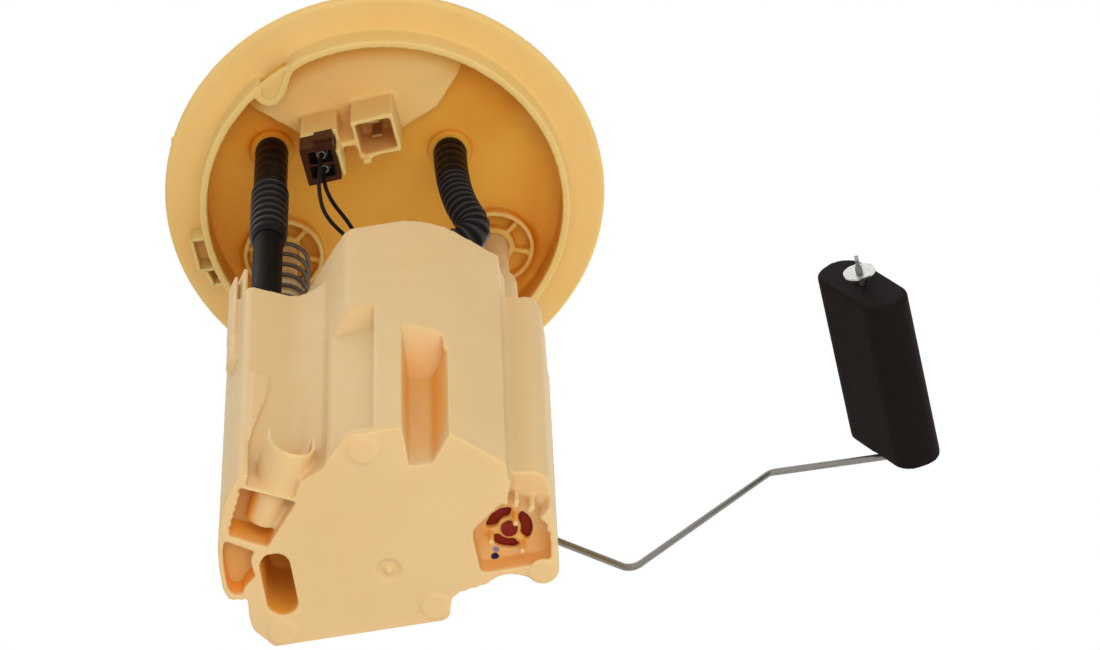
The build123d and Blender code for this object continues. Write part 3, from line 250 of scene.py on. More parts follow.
def makePlain(name):
    look = plainLooks[name]
    material, tree, shader, place = newMaterial(name)
    grain = addNode(tree, "ShaderNodeTexNoise", {"Vector": place, "Scale": 1 / (look["grainMm"] * mm), "Detail": 5.0,
                                                 "Roughness": 0.6})
    tone = addNode(tree, "ShaderNodeMix", {"Factor": grain.outputs["Fac"], "A": hexColour(look["dark"]),
                                           "B": hexColour(look["light"])}, data_type="RGBA").outputs["Result"]
    # painted highlight: a paler tone on the hose rings' ridge tops
    if "crestHighlight" in look:
        crestHighlight = addNode(tree, "ShaderNodeAttribute", attribute_name="crestHighlight").outputs["Fac"]
        tone = addNode(tree, "ShaderNodeMix", {"Factor": crestHighlight, "A": tone, "B": hexColour(look["crestHighlight"])},
                       data_type="RGBA").outputs["Result"]
    # painted shade: the plug's two cavities drawn near black
    if "wellShade" in look:
        facts = look["wellShade"]
        centre = tuple(part * mm for part in facts["centre"]) + (0.0,)
        away = addNode(tree, "ShaderNodeVectorMath", {0: place, 1: centre}, operation="SUBTRACT")
        away = addNode(tree, "ShaderNodeVectorMath", {0: away.outputs["Vector"]}, operation="ABSOLUTE").outputs["Vector"]
        away = addNode(tree, "ShaderNodeSeparateXYZ", {"Vector": away}).outputs
        across = addNode(tree, "ShaderNodeMath", {0: away["X"], 1: facts["half"][0] * mm}, operation="LESS_THAN").outputs[0]
        within = addNode(tree, "ShaderNodeMath", {0: away["Y"], 1: facts["apart"] * mm, 2: facts["half"][1] * mm},
                         operation="COMPARE").outputs[0]
        within = addNode(tree, "ShaderNodeMath", {0: within, 1: across}, operation="MULTIPLY").outputs[0]
        tone = addNode(tree, "ShaderNodeMix", {"Factor": within, "A": tone, "B": hexColour(facts["colour"])},
                       data_type="RGBA").outputs["Result"]
    if "tracks" in look:
        facts = look["tracks"]
        pivot = tuple(part * mm for part in facts["pivot"])
        spoke = addNode(tree, "ShaderNodeVectorMath", {0: place, 1: pivot}, operation="SUBTRACT")
        spoke = addNode(tree, "ShaderNodeVectorMath", {0: spoke.outputs["Vector"], 1: (1, 0, 1)}, operation="MULTIPLY")
        reach = addNode(tree, "ShaderNodeVectorMath", {0: spoke.outputs["Vector"]}, operation="LENGTH").outputs["Value"]
        for radius, halfWidth in facts["bands"]:
            band = addNode(tree, "ShaderNodeMath", {0: reach, 1: radius * mm, 2: halfWidth * mm}, operation="COMPARE").outputs[0]
            tone = addNode(tree, "ShaderNodeMix", {"Factor": band, "A": tone, "B": hexColour(facts["colour"])},
                           data_type="RGBA").outputs["Result"]
    satin = addNode(tree, "ShaderNodeMapRange", {"Value": grain.outputs["Fac"], "From Min": grainMiddle[0],
                                                 "From Max": grainMiddle[1],
                                                 "To Min": look["roughness"][0], "To Max": look["roughness"][1]})
    ripple = addNode(tree, "ShaderNodeBump", {"Height": grain.outputs["Fac"], "Strength": look["bump"],
                                              "Distance": plainFacts["rippleMm"] * mm})
    tree.links.new(tone, shader.inputs["Base Color"])
    tree.links.new(satin.outputs["Result"], shader.inputs["Roughness"])
    tree.links.new(ripple.outputs["Normal"], shader.inputs["Normal"])
    shader.inputs["Specular IOR Level"].default_value = look.get("sheen", plainFacts["sheen"])
    return material


# Metals: drawn, rolled or plated; a stretch under 1 draws the grain out into lines along that axis
metalLooks = {
    "springSteel": {"dark": "#4B4641", "light": "#7B746C", "roughness": (0.32, 0.46), "stretch": (1, 1, 1)},
    "wireSteel": {"dark": "#807D79", "light": "#95928D", "roughness": (0.36, 0.42), "stretch": (1, 1, 1)},
    "nutZinc": {"dark": "#B9B9B6", "light": "#E2E2DF", "roughness": (0.16, 0.3), "stretch": (1, 1, 1)},
    "tinnedBrass": {"dark": "#C9A768", "light": "#E6CF98", "roughness": (0.36, 0.5), "stretch": (1, 1, 0.1)},
    "tinnedCrimp": {"dark": "#8E8A83", "light": "#D2CFC9", "roughness": (0.3, 0.42), "stretch": (1, 1, 1)},
    "caseZinc": {"dark": "#A7A69F", "light": "#CBC9C0", "roughness": (0.26, 0.4), "stretch": (1, 1, 0.08)},
    "copperBar": {"dark": "#A8623D", "light": "#CE8A60", "roughness": (0.26, 0.4), "stretch": (1, 1, 0.2)},
    "wiperSilver": {"dark": "#B7A98A", "light": "#D6CBAE", "roughness": (0.25, 0.38), "stretch": (0.2, 1, 1)},
}

metalGrainMm = 0.8


def makeMetal(name):
    look = metalLooks[name]
    material, tree, shader, place = newMaterial(name)
    stretched = addNode(tree, "ShaderNodeMapping", {"Vector": place, "Scale": look["stretch"]})
    grain = addNode(tree, "ShaderNodeTexNoise", {"Vector": stretched.outputs["Vector"], "Scale": 1 / (metalGrainMm * mm),
                                                 "Detail": 5.0})
    tone = addNode(tree, "ShaderNodeMix", {"Factor": grain.outputs["Fac"], "A": hexColour(look["dark"]),
                                           "B": hexColour(look["light"])}, data_type="RGBA")
    satin = addNode(tree, "ShaderNodeMapRange", {"Value": grain.outputs["Fac"], "From Min": grainMiddle[0],
                                                 "From Max": grainMiddle[1],
                                                 "To Min": look["roughness"][0], "To Max": look["roughness"][1]})
    tree.links.new(tone.outputs["Result"], shader.inputs["Base Color"])
    tree.links.new(satin.outputs["Result"], shader.inputs["Roughness"])
    shader.inputs["Metallic"].default_value = 1.0
    return material


finishes = {look["name"]: makeAcetal(look) for look in (acetalFlange, acetalBucket, acetalSmall)}
finishes.update({name: makePlain(name) for name in plainLooks})
finishes.update({name: makeMetal(name) for name in metalLooks})
print("finishes made:", len(finishes))

# The finish of each CAD node, also of those that a piece replaces further on
nodeFinish = {
    "tank_flange": "acetalFlange", "reservoir_bucket": "acetalBucket", "flange_terminals": "tinnedBrass",
    "guide_rod_left": "acetalSmall", "guide_rod_right": "acetalSmall", "rod_clip_left": "springSteel",
    "rod_clip_right": "springSteel", "guide_spring": "springSteel", "pump_plug": "plugPolyester",
    "plug_terminals": "tinnedCrimp", "pump_lead_live": "leadJacket", "pump_lead_earth": "leadJacket",
    "return_hose": "nylonHose", "supply_hose": "nylonHose", "return_tube": "nylonTube", "jet_nozzle": "capNylon",
    "inlet_valve": "valveRubber", "pump_holder": "acetalSmall", "pump_damper": "damperRubber", "pump_case": "caseZinc",
    "pump_outlet_cap": "capNylon", "pump_brushes": "brushCarbon", "pump_inlet_cover": "caseZinc", "pump_volute": "caseZinc",
    "pump_impeller": "impellerResin", "pump_armature": "capNylon", "pump_commutator": "copperBar",
    "pump_magnets": "ferrite", "pump_strainer": "acetalSmall", "sender_carrier": "acetalSmall",
    "resistor_card": "cardCeramic", "sender_hub": "acetalSmall", "sender_wiper": "wiperSilver",
    "float_arm": "wireSteel", "float_block": "nitrileFoam", "float_nut": "nutZinc",
}
for name, finish in nodeFinish.items():
    nodes[name].data.materials.clear()
    nodes[name].data.materials.append(finishes[finish])

# How far into a recess each point of a moulding lies: the share of fixed rays that meet the moulding again within
# reach; the acetal finishes paint shade into recesses from it
recessFacts = {"rays": 32, "reach": 32.0, "lift": 0.35, "near": (0.8, 6.0), "blur": 8}
recessTree, given = newTree("recessDepth", {"Reach": "Float", "Lift": "Float"})
here = addNode(recessTree, "GeometryNodeInputPosition").outputs["Position"]
outward = addNode(recessTree, "GeometryNodeInputNormal").outputs["Normal"]
lifted = addNode(recessTree, "ShaderNodeVectorMath", {0: outward, "Scale": given["Lift"]}, operation="SCALE").outputs["Vector"]
lifted = addNode(recessTree, "ShaderNodeVectorMath", {0: lifted, 1: here}, operation="ADD").outputs["Vector"]
met = total = None
for ray in range(recessFacts["rays"]):
    tall = 1 - (2 * ray + 1) / recessFacts["rays"]
    wide = math.sqrt(1 - tall * tall)
    spin = ray * math.pi * (3 - math.sqrt(5))
    aim = (wide * math.cos(spin), wide * math.sin(spin), tall)
    weight = addNode(recessTree, "ShaderNodeVectorMath", {0: outward, 1: aim}, operation="DOT_PRODUCT").outputs["Value"]
    weight = addNode(recessTree, "ShaderNodeMath", {0: weight, 1: 0.0}, operation="MAXIMUM").outputs[0]
    shot = addNode(recessTree, "GeometryNodeRaycast", {"Target Geometry": given["Geometry"], "Source Position": lifted,
                                                       "Ray Direction": aim, "Ray Length": given["Reach"]})
    near = addNode(recessTree, "ShaderNodeMapRange", {"Value": shot.outputs["Hit Distance"],
                                                      "From Min": recessFacts["near"][0] * mm,
                                                      "From Max": recessFacts["near"][1] * mm}).outputs["Result"]
    near = addNode(recessTree, "ShaderNodeMath", {0: near, 1: shot.outputs["Is Hit"]}, operation="MULTIPLY").outputs[0]
    met = addNode(recessTree, "ShaderNodeMath", {0: near, 1: weight, 2: met or 0.0}, operation="MULTIPLY_ADD").outputs[0]
    total = addNode(recessTree, "ShaderNodeMath", {0: weight, 1: total or 0.0}, operation="ADD").outputs[0]
depth = addNode(recessTree, "ShaderNodeMath", {0: met, 1: total}, operation="DIVIDE").outputs[0]
depth = addNode(recessTree, "GeometryNodeBlurAttribute", {"Value": depth, "Iterations": recessFacts["blur"]}).outputs["Value"]
marked = addNode(recessTree, "GeometryNodeStoreNamedAttribute", {"Geometry": given["Geometry"], "Name": "recess",
                                                                 "Value": depth})
addNode(recessTree, "NodeGroupOutput", {"Geometry": marked.outputs["Geometry"]})

# Moulded pieces: the CAD shape with its sharp edges rounded off as a mould leaves them; each calm box is smoothed further
roundFacts = {"weldMm": 0.002, "factor": 0.5}
edgeRounds = {
    "tank_flange": {"piece": "flangeMoulding", "cell": 0.5, "passes": 3, "faces": 150000, "body": "flange",
                    "slot": "flange_plastic", "recess": True},
    "reservoir_bucket": {"piece": "bucketMoulding", "cell": 0.5, "passes": 3, "faces": 190000, "body": "reservoir",
                         "slot": "bucket_plastic", "recess": True,
                         "calm": [{"low": (-25.0, -27.0, -191.0), "high": (-13.5, -16.5, -147.0), "passes": 400},
                                  {"low": (-43.0, -28.0, -140.0), "high": (-37.2, -19.0, -120.0), "passes": 40}]},
    "float_block": {"piece": "floatFoam", "cell": 0.5, "passes": 6, "faces": 40000, "body": "float"},
}


def roundedCopy(node, facts):
    work = bmesh.new()
    work.from_mesh(nodes[node].data)
    bmesh.ops.remove_doubles(work, verts=work.verts, dist=roundFacts["weldMm"] * mm)
    mesh = bpy.data.meshes.new(facts["piece"])
    work.to_mesh(mesh)
    work.free()
    piece = linkObject(facts["piece"], mesh, finishes[nodeFinish[node]])
    skin = piece.modifiers.new("skin", "REMESH")
    skin.mode, skin.voxel_size, skin.use_smooth_shade = "VOXEL", facts["cell"] * mm, True
    soft = piece.modifiers.new("soft", "SMOOTH")
    soft.factor, soft.iterations = roundFacts["factor"], facts["passes"]
    piece = settle(piece)
    print(node, "skin faces", len(piece.data.polygons))
    for i, box in enumerate(facts.get("calm", [])):
        patch = piece.vertex_groups.new(name="calm" + str(i))
        inBox = [vertex.index for vertex in piece.data.vertices
                 if all(low * mm < at < high * mm for low, at, high in zip(box["low"], vertex.co, box["high"]))]
        patch.add(inBox, 1.0, "ADD")
        even = piece.modifiers.new(patch.name, "SMOOTH")
        even.factor, even.iterations, even.vertex_group = roundFacts["factor"], box["passes"], patch.name
    if "calm" in facts:
        piece = settle(piece)
    thin = piece.modifiers.new("thin", "DECIMATE")
    thin.ratio = min(1.0, facts["faces"] / (2 * len(piece.data.polygons)))
    piece = settle(piece)
    piece.vertex_groups.clear()
    # store the recess share, from which the acetal finishes paint shade
    if "recess" in facts:
        piece = runTree(piece, recessTree, {"Reach": recessFacts["reach"] * mm, "Lift": recessFacts["lift"] * mm})
    print(node, "kept faces", len(piece.data.polygons))
    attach(piece, facts["body"])
    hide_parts(node)


for node, facts in edgeRounds.items():
    roundedCopy(node, facts)
print("moulded pieces rounded")


# one smooth line drawn by control points in millimetres
def routeLine(name, points):
    data = bpy.data.curves.new(name, "CURVE")
    data.dimensions, data.resolution_u = "3D", 24
    spline = data.splines.new("NURBS")
    spline.points.add(len(points) - 1)
    for point, place in zip(spline.points, points):
        point.co = (place[0] * mm, place[1] * mm, place[2] * mm, 1)
    spline.order_u, spline.use_endpoint_u = 3, True
    line = bpy.data.objects.new(name, data)
    scene.collection.objects.link(line)
    return settle(line)


# Convoluted tube: barbed cuff, run of rings, plain tail; the radius is a function of the length along the route
hoseSizes = ("Cuff Radius", "Cuff End", "Barb Pitch", "Barb Depth", "Ring Radius", "Ring Pitch", "Ring Depth",
             "Rings End", "Tail Radius", "Step")
hoseBlends = {"cuff": 2.4, "rings": 1.6, "end": 2.4, "crestHighlightPower": 7.0}
hoseInputs = {size: "Float" for size in hoseSizes}
hoseInputs.update({"End Share": "Float", "Sides": "Int", "Finish": "Material"})
hoseTree, given = newTree("convolutedTube", hoseInputs)
route = addNode(hoseTree, "GeometryNodeMeshToCurve", {"Mesh": given["Geometry"]})
route = addNode(hoseTree, "GeometryNodeResampleCurve", {"Curve": route.outputs["Curve"], "Length": given["Step"]}, mode="LENGTH")
along = addNode(hoseTree, "GeometryNodeSplineParameter").outputs["Length"]
halfTurns = addNode(hoseTree, "ShaderNodeMath", {0: along, 1: math.pi}, operation="MULTIPLY").outputs[0]
barb = addNode(hoseTree, "ShaderNodeMath", {0: halfTurns, 1: given["Barb Pitch"]}, operation="DIVIDE").outputs[0]
barb = addNode(hoseTree, "ShaderNodeMath", {0: barb}, operation="SINE").outputs[0]
barb = addNode(hoseTree, "ShaderNodeMath", {0: barb}, operation="ABSOLUTE").outputs[0]
barb = addNode(hoseTree, "ShaderNodeMath", {0: barb, 1: given["Barb Depth"], 2: given["Cuff Radius"]},
               operation="MULTIPLY_ADD").outputs[0]
ring = addNode(hoseTree, "ShaderNodeMath", {0: halfTurns, 1: given["Ring Pitch"]}, operation="DIVIDE").outputs[0]
ring = addNode(hoseTree, "ShaderNodeMath", {0: ring}, operation="SINE").outputs[0]
ring = addNode(hoseTree, "ShaderNodeMath", {0: ring}, operation="ABSOLUTE").outputs[0]
# painted highlight: a pale tone on each ring's ridge top, sharpened by the power, stored on the route for the hose
# finish
crestHighlight = addNode(hoseTree, "ShaderNodeMath", {0: ring, 1: hoseBlends["crestHighlightPower"]}, operation="POWER").outputs[0]
ring = addNode(hoseTree, "ShaderNodeMath", {0: ring, 1: given["Ring Depth"], 2: given["Ring Radius"]},
               operation="MULTIPLY_ADD").outputs[0]
cuffGone = addNode(hoseTree, "ShaderNodeMath", {0: given["Cuff End"], 1: hoseBlends["cuff"] * mm}, operation="ADD").outputs[0]
pastCuff = addNode(hoseTree, "ShaderNodeMapRange", {"Value": along, "From Min": given["Cuff End"], "From Max": cuffGone},
                   interpolation_type="SMOOTHSTEP").outputs["Result"]
ringsGone = addNode(hoseTree, "ShaderNodeMath", {0: given["Rings End"], 1: hoseBlends["rings"] * mm}, operation="ADD").outputs[0]
pastRings = addNode(hoseTree, "ShaderNodeMapRange", {"Value": along, "From Min": given["Rings End"], "From Max": ringsGone},
                    interpolation_type="SMOOTHSTEP").outputs["Result"]
girth = addNode(hoseTree, "ShaderNodeMix", {"Factor": pastCuff, "A": barb, "B": ring}).outputs["Result"]
girth = addNode(hoseTree, "ShaderNodeMix", {"Factor": pastRings, "A": girth, "B": given["Tail Radius"]}).outputs["Result"]
whole = addNode(hoseTree, "GeometryNodeSplineLength").outputs["Length"]
leftOver = addNode(hoseTree, "ShaderNodeMath", {0: whole, 1: along}, operation="SUBTRACT").outputs[0]
narrow = addNode(hoseTree, "ShaderNodeMapRange", {"Value": leftOver, "From Max": hoseBlends["end"] * mm,
                                                  "To Min": given["End Share"], "To Max": 1.0}).outputs["Result"]
girth = addNode(hoseTree, "ShaderNodeMath", {0: girth, 1: narrow}, operation="MULTIPLY").outputs[0]
crestHighlight = addNode(hoseTree, "ShaderNodeMix", {"Factor": pastCuff, "A": 0.0, "B": crestHighlight}).outputs["Result"]
crestHighlight = addNode(hoseTree, "ShaderNodeMix", {"Factor": pastRings, "A": crestHighlight, "B": 0.0}).outputs["Result"]
route = addNode(hoseTree, "GeometryNodeStoreNamedAttribute", {"Geometry": route.outputs["Curve"], "Name": "crestHighlight",
                                                              "Value": crestHighlight})
section = addNode(hoseTree, "GeometryNodeCurvePrimitiveCircle", {"Resolution": given["Sides"], "Radius": 1.0})
tube = addNode(hoseTree, "GeometryNodeCurveToMesh", {"Curve": route.outputs["Geometry"],
                                                     "Profile Curve": section.outputs["Curve"],
                                                     "Scale": girth, "Fill Caps": True})
endTree(hoseTree, tube.outputs["Mesh"], given["Finish"])


def layHose(name, facts, node):
    line = routeLine(name, facts["route"])
    values = {key: value * mm for key, value in facts["sizes"].items()}
    values.update({"End Share": facts["endShare"], "Sides": facts["sides"], "Finish": finishes[facts["finish"]]})
    piece = runTree(line, hoseTree, values)
    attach(piece, "flange")
    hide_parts(node)
    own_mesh(piece)


returnHose = {
    "route": [(-30.3, -20.0, 1.1), (-30.3, -20.0, -20.0), (-30.3, -20.0, -40.0), (-30.3, -20.0, -58.0)],
    "sizes": {"Cuff Radius": 4.72, "Cuff End": 25.6, "Barb Pitch": 5.1, "Barb Depth": 0.2, "Ring Radius": 4.85,
              "Ring Pitch": 3.9, "Ring Depth": 0.66, "Rings End": 55.0, "Tail Radius": 5.3, "Step": 0.25},
    "endShare": 0.86, "sides": 40, "finish": "nylonHose", "slot": "hose_black", "squash": {"anchor": 1.1, "keep": 0.628},
}
supplyHose = {
    "route": [(21.4, -11.0, 1.1), (21.4, -11.0, -26.5), (30.6, -4.3, -48.0), (0.0, -6.0, -50.4), (1.0, -2.0, -85.0),
              (1.0, -2.0, -98.0)],
    "sizes": {"Cuff Radius": 4.65, "Cuff End": 18.4, "Barb Pitch": 4.1, "Barb Depth": 0.3, "Ring Radius": 4.3,
              "Ring Pitch": 2.45, "Ring Depth": 0.6, "Rings End": 500.0, "Tail Radius": 4.6, "Step": 0.25},
    "endShare": 1.0, "sides": 40, "finish": "nylonHose", "slot": "hose_black", "squash": {"anchor": 1.1, "keep": 0.778},
    "diameter": 9.4, "stiffness": "stiff", "lay": "taut",
}
leadSizes = {"Cuff Radius": 0.6, "Cuff End": 0.1, "Barb Pitch": 5.0, "Barb Depth": 0.0, "Ring Radius": 0.6,
             "Ring Pitch": 5.0, "Ring Depth": 0.0, "Rings End": 500.0, "Tail Radius": 0.6, "Step": 0.8}
leadFacts = {"sizes": leadSizes, "endShare": 1.0, "sides": 14, "finish": "leadJacket", "slot": "lead_jacket",
             "diameter": 1.2, "stiffness": "limp", "lay": "loose", "squash": {"anchor": -19.0, "keep": 0.7393}}
pumpLeads = {
    "live": {"route": [(-13.8, -27.8, -19.0), (-14.2, -27.8, -30.0), (-14.6, -27.4, -44.0), (-13.0, -25.2, -58.0),
                       (-5.0, -19.6, -67.0), (-4.4, -12.0, -84.0), (-7.0, -9.0, -95.8), (-7.0, -9.0, -103.4)]},
    "earth": {"route": [(-13.8, -23.2, -19.0), (-14.2, -23.6, -30.0), (-12.2, -20.6, -39.0), (-7.6, -15.0, -44.0),
                        (-3.6, -9.0, -54.0), (-4.6, 0.0, -76.0), (-7.0, 5.0, -95.8), (-7.0, 5.0, -103.4)]},
}
layHose("returnHoseRings", returnHose, "return_hose")
layHose("supplyHoseRings", supplyHose, "supply_hose")
for name, facts in pumpLeads.items():
    layHose(name + "Lead", dict(leadFacts, **facts), "pump_lead_" + name)
print("hoses and leads laid")

# Spring round the left guide rod
springFacts = {"centre": (-33.0, 13.8), "turns": 12.75, "coilRadius": 7.5, "wireRadius": 0.65, "foot": -84.8, "top": -0.9,
               "points": 620, "sides": 14, "squash": {"anchor": -0.2, "keep": 0.7415}}
springTree, given = newTree("coilSpring", {"Turns": "Float", "Coil Radius": "Float", "Wire Radius": "Float",
                                           "Foot": "Float", "Top": "Float", "Centre": "Vector", "Finish": "Material"})
stem = addNode(springTree, "GeometryNodeCurvePrimitiveLine", {"Start": (0, 0, 0), "End": (0, 0, 1)})
stem = addNode(springTree, "GeometryNodeResampleCurve", {"Curve": stem.outputs["Curve"], "Count": springFacts["points"]})
share = addNode(springTree, "GeometryNodeSplineParameter").outputs["Factor"]
angle = addNode(springTree, "ShaderNodeMath", {0: share, 1: given["Turns"]}, operation="MULTIPLY").outputs[0]
angle = addNode(springTree, "ShaderNodeMath", {0: angle, 1: math.tau}, operation="MULTIPLY").outputs[0]
east = addNode(springTree, "ShaderNodeMath", {0: angle}, operation="COSINE").outputs[0]
east = addNode(springTree, "ShaderNodeMath", {0: east, 1: given["Coil Radius"]}, operation="MULTIPLY").outputs[0]
north = addNode(springTree, "ShaderNodeMath", {0: angle}, operation="SINE").outputs[0]
north = addNode(springTree, "ShaderNodeMath", {0: north, 1: given["Coil Radius"]}, operation="MULTIPLY").outputs[0]
rise = addNode(springTree, "ShaderNodeMapRange", {"Value": share, "To Min": given["Foot"],
                                                  "To Max": given["Top"]}).outputs["Result"]
onCoil = addNode(springTree, "ShaderNodeCombineXYZ", {"X": east, "Y": north, "Z": rise}).outputs["Vector"]
coil = addNode(springTree, "GeometryNodeSetPosition", {"Geometry": stem.outputs["Curve"], "Position": onCoil,
                                                       "Offset": given["Centre"]})
wire = addNode(springTree, "GeometryNodeCurvePrimitiveCircle", {"Resolution": springFacts["sides"], "Radius": 1.0})
coil = addNode(springTree, "GeometryNodeCurveToMesh", {"Curve": coil.outputs["Geometry"], "Profile Curve": wire.outputs["Curve"],
                                                       "Scale": given["Wire Radius"], "Fill Caps": True})
endTree(springTree, coil.outputs["Mesh"], given["Finish"])
spring = runTree(linkObject("guideSpringCoil", bpy.data.meshes.new("guideSpringCoil")), springTree,
                 {"Turns": springFacts["turns"], "Coil Radius": springFacts["coilRadius"] * mm,
                  "Wire Radius": springFacts["wireRadius"] * mm, "Foot": springFacts["foot"] * mm,
                  "Top": springFacts["top"] * mm, "Finish": finishes["springSteel"],
                  "Centre": (springFacts["centre"][0] * mm, springFacts["centre"][1] * mm, 0.0)})
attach(spring, "flange")
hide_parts("guide_spring")
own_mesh(spring)
print("spring faces", len(spring.data.polygons))

# Small moulded forms as prisms, with plan corners in millimetres between two heights: the bracket outside the skirt,
# the plate over the skirt's curl, and the floors of the jet chamber and of the pocket beside it
skirtLatch = {"body": "flange", "slot": "flange_plastic", "finish": "acetalFlange", "round": 0.18, "prisms": [
    {"low": -6.6, "high": 0.4, "plan": [(-58.9, 0.8), (-57.9, 0.8), (-57.3, 11.4), (-58.3, 11.4)]},
    {"low": -6.6, "high": 0.4, "plan": [(-53.9, 0.6), (-58.2, 0.7), (-58.2, 1.7), (-53.9, 1.6)]},
    {"low": -6.6, "high": 0.4, "plan": [(-52.8, 10.9), (-58.2, 11.1), (-58.2, 12.1), (-52.6, 11.9)]},
    {"low": -6.6, "high": 0.4, "plan": [(-56.6, 11.6), (-55.6, 11.6), (-54.0, 17.2), (-55.0, 17.2)]},
    {"low": -6.6, "high": 0.4, "plan": [(-51.4, 16.4), (-54.8, 16.6), (-54.9, 17.6), (-51.2, 17.4)]}]}
skirtCurl = {"body": "flange", "slot": "flange_plastic", "finish": "acetalFlange", "round": 0.1, "prisms": [
    {"low": -7.5, "high": -6.3, "plan": [(-16.6, -51.2), (-20.4, -47.4), (-23.0, -42.4), (-26.6, -39.6), (-29.2, -41.0),
                                         (-30.2, -43.6), (-29.4, -45.6), (-25.4, -48.0), (-21.2, -50.0)]}]}
# the jet floors carry a fixed recess value, from which the bucket finish paints shade on them
jetFloors = {"body": "reservoir", "slot": "bucket_plastic", "finish": "acetalBucket", "round": 0.05, "recess": 0.46,
             "prisms": [
    {"low": -196.6, "high": -195.4, "plan": [(-34.0, -24.6), (-20.3, -17.8), (-30.5, -5.3), (-40.9, -11.1), (-39.9, -15.5),
                                             (-37.9, -20.1), (-35.3, -24.3)]},
    {"low": -200.2, "high": -199.0, "plan": [(-41.5, -9.7), (-33.9, -5.0), (-35.3, -2.4), (-35.2, 1.0), (-35.1, 2.7),
                                             (-38.5, 5.6), (-39.5, 7.7), (-42.4, 7.3), (-43.5, 4.7), (-43.3, -1.2),
                                             (-42.7, -6.3)]}]}


def addPrisms(name, facts):
    work = bmesh.new()
    for prism in facts["prisms"]:
        low, high = [[work.verts.new((x * mm, y * mm, prism[end] * mm)) for x, y in prism["plan"]]
                     for end in ("low", "high")]
        work.faces.new(low)
        work.faces.new(high)
        for i in range(len(low)):
            work.faces.new((low[i - 1], low[i], high[i], high[i - 1]))
    bmesh.ops.recalc_face_normals(work, faces=work.faces)
    bmesh.ops.bevel(work, geom=work.edges, offset=facts["round"] * mm, segments=2, affect="EDGES", profile=0.5)
    mesh = bpy.data.meshes.new(name)
    work.to_mesh(mesh)
    work.free()
    # a fixed recess value, from which an acetal finish paints shade
    if "recess" in facts:
        recess = mesh.attributes.new("recess", "FLOAT", "POINT")
        recess.data.foreach_set("value", [facts["recess"]] * len(mesh.vertices))
    piece = linkObject(name, mesh, finishes[facts["finish"]])
    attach(piece, facts["body"])
    print(name, "faces", len(mesh.polygons))


addPrisms("skirtLatch", skirtLatch)
addPrisms("skirtCurl", skirtCurl)
addPrisms("jetFloors", jetFloors)

# Inlet valve: the CAD flap with its bulb drawn up level with the seat, as the photograph shows it
valveFlap = {"below": -200.5, "rise": 1.5, "body": "valve", "slot": "valve_rubber"}
flapMesh = nodes["inlet_valve"].data.copy()
for vertex in flapMesh.vertices:
    if vertex.co.z < valveFlap["below"] * mm:
        vertex.co.z += valveFlap["rise"] * mm
flap = linkObject("valveFlap", flapMesh)
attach(flap, valveFlap["body"])
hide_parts("inlet_valve")
print("valve flap set")

# Stage: pale floor under the feet, open to light from below so that the underside is lit as in the photograph
stageFacts = {"floor": "#EDEDEB", "floorSize": 6.0, "floorHeight": -0.2077, "floorRoughness": 0.8, "ambient": 0.64}
floorMesh = bpy.data.meshes.new("paleFloor")
half, height = stageFacts["floorSize"] / 2, stageFacts["floorHeight"]
corners = [(-half, -half, height), (half, -half, height), (half, half, height), (-half, half, height)]
floorMesh.from_pydata(corners, [], [(0, 1, 2, 3)])
floorMaterial = bpy.data.materials.new("paleFloor")
floorMaterial.use_nodes = True
floorTree = floorMaterial.node_tree
paint = floorTree.nodes["Principled BSDF"]
paint.inputs["Base Color"].default_value = hexColour(stageFacts["floor"])
paint.inputs["Roughness"].default_value = stageFacts["floorRoughness"]
rays = addNode(floorTree, "ShaderNodeLightPath")
underside = addNode(floorTree, "ShaderNodeNewGeometry")
passing = addNode(floorTree, "ShaderNodeMath", {0: rays.outputs["Is Shadow Ray"], 1: rays.outputs["Is Diffuse Ray"]},
                  operation="MAXIMUM")
passing = addNode(floorTree, "ShaderNodeMath", {0: passing.outputs[0], 1: underside.outputs["Backfacing"]},
                  operation="MAXIMUM")
clear = addNode(floorTree, "ShaderNodeBsdfTransparent")
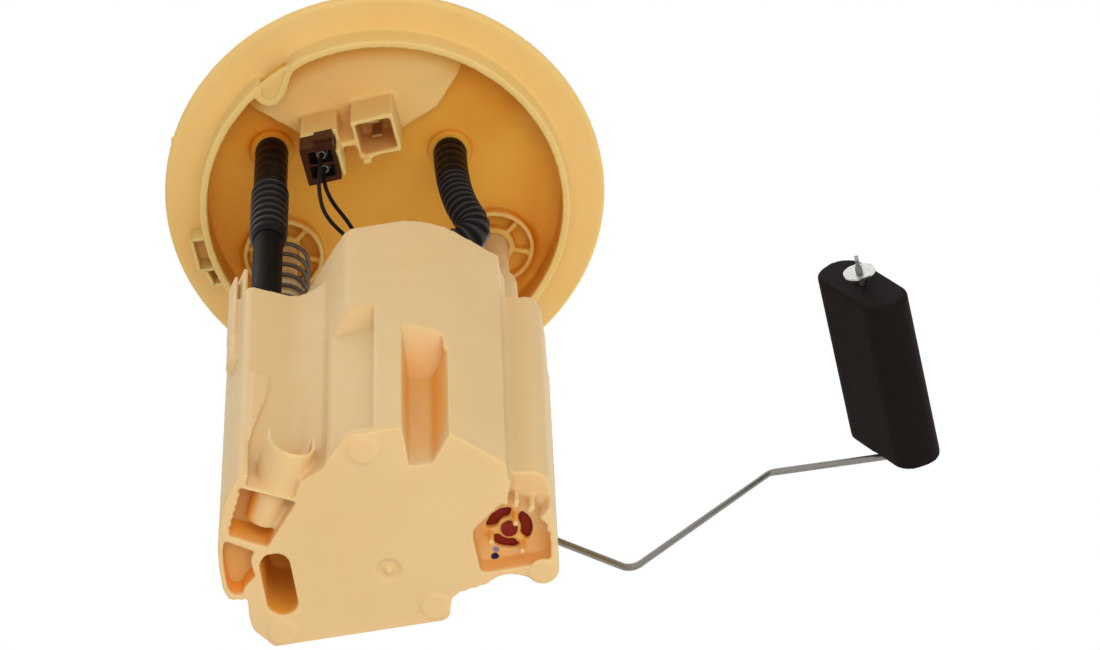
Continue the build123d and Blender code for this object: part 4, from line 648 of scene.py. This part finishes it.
mixed = addNode(floorTree, "ShaderNodeMixShader", {0: passing.outputs[0], 1: paint.outputs[0], 2: clear.outputs[0]})
floorTree.links.new(mixed.outputs[0], floorTree.nodes["Material Output"].inputs["Surface"])
linkObject("paleFloor", floorMesh, floorMaterial)

# White room: full strength where it is seen or mirrored, weaker as light
world = bpy.data.worlds.new("studio")
scene.world = world
world.use_nodes = True
worldTree = world.node_tree
room = worldTree.nodes["Background"]
room.inputs["Color"].default_value = (1.0, 1.0, 1.0, 1.0)
seen = addNode(worldTree, "ShaderNodeLightPath")
white = addNode(worldTree, "ShaderNodeMath", {0: seen.outputs["Is Camera Ray"], 1: seen.outputs["Is Glossy Ray"]},
                operation="MAXIMUM")
white = addNode(worldTree, "ShaderNodeMath", {0: white.outputs[0], 1: seen.outputs["Is Transmission Ray"]},
                operation="MAXIMUM")
level = addNode(worldTree, "ShaderNodeMapRange", {"Value": white.outputs[0], "To Min": stageFacts["ambient"],
                                                  "To Max": 1.0})
worldTree.links.new(level.outputs["Result"], room.inputs["Strength"])

# Soft boxes: a key near the camera's line, a weak fill on the right, one over the flange and one behind the module
softBoxes = {
    "keyLight": {"right": 0.12, "up": 0.12, "back": 1.15, "size": 1.1, "watts": 6.0},
    "fillLight": {"right": 0.9, "up": -0.2, "back": 1.0, "size": 1.0, "watts": 0.9},
    "topLight": {"place": (-0.3, -0.15, 1.2), "size": 0.9, "watts": 7.0},
    "backLight": {"place": (0.5, 1.0, 0.4), "size": 0.9, "watts": 6.0},
}
middle = Vector((0.03, 0.0, -0.1))
for name, facts in softBoxes.items():
    lamp = bpy.data.lights.new(name, "AREA")
    lamp.energy, lamp.size, lamp.shape = facts["watts"], facts["size"], "DISK"
    light = bpy.data.objects.new(name, lamp)
    scene.collection.objects.link(light)
    if "place" in facts:
        light.location = Vector(facts["place"])
    else:
        light.location = middle + viewRight * facts["right"] + viewUp * facts["up"] + awayFromFlange * facts["back"]
    light.rotation_mode = "QUATERNION"
    light.rotation_quaternion = (middle - light.location).to_track_quat("-Z", "Y")
print("stage and light set")
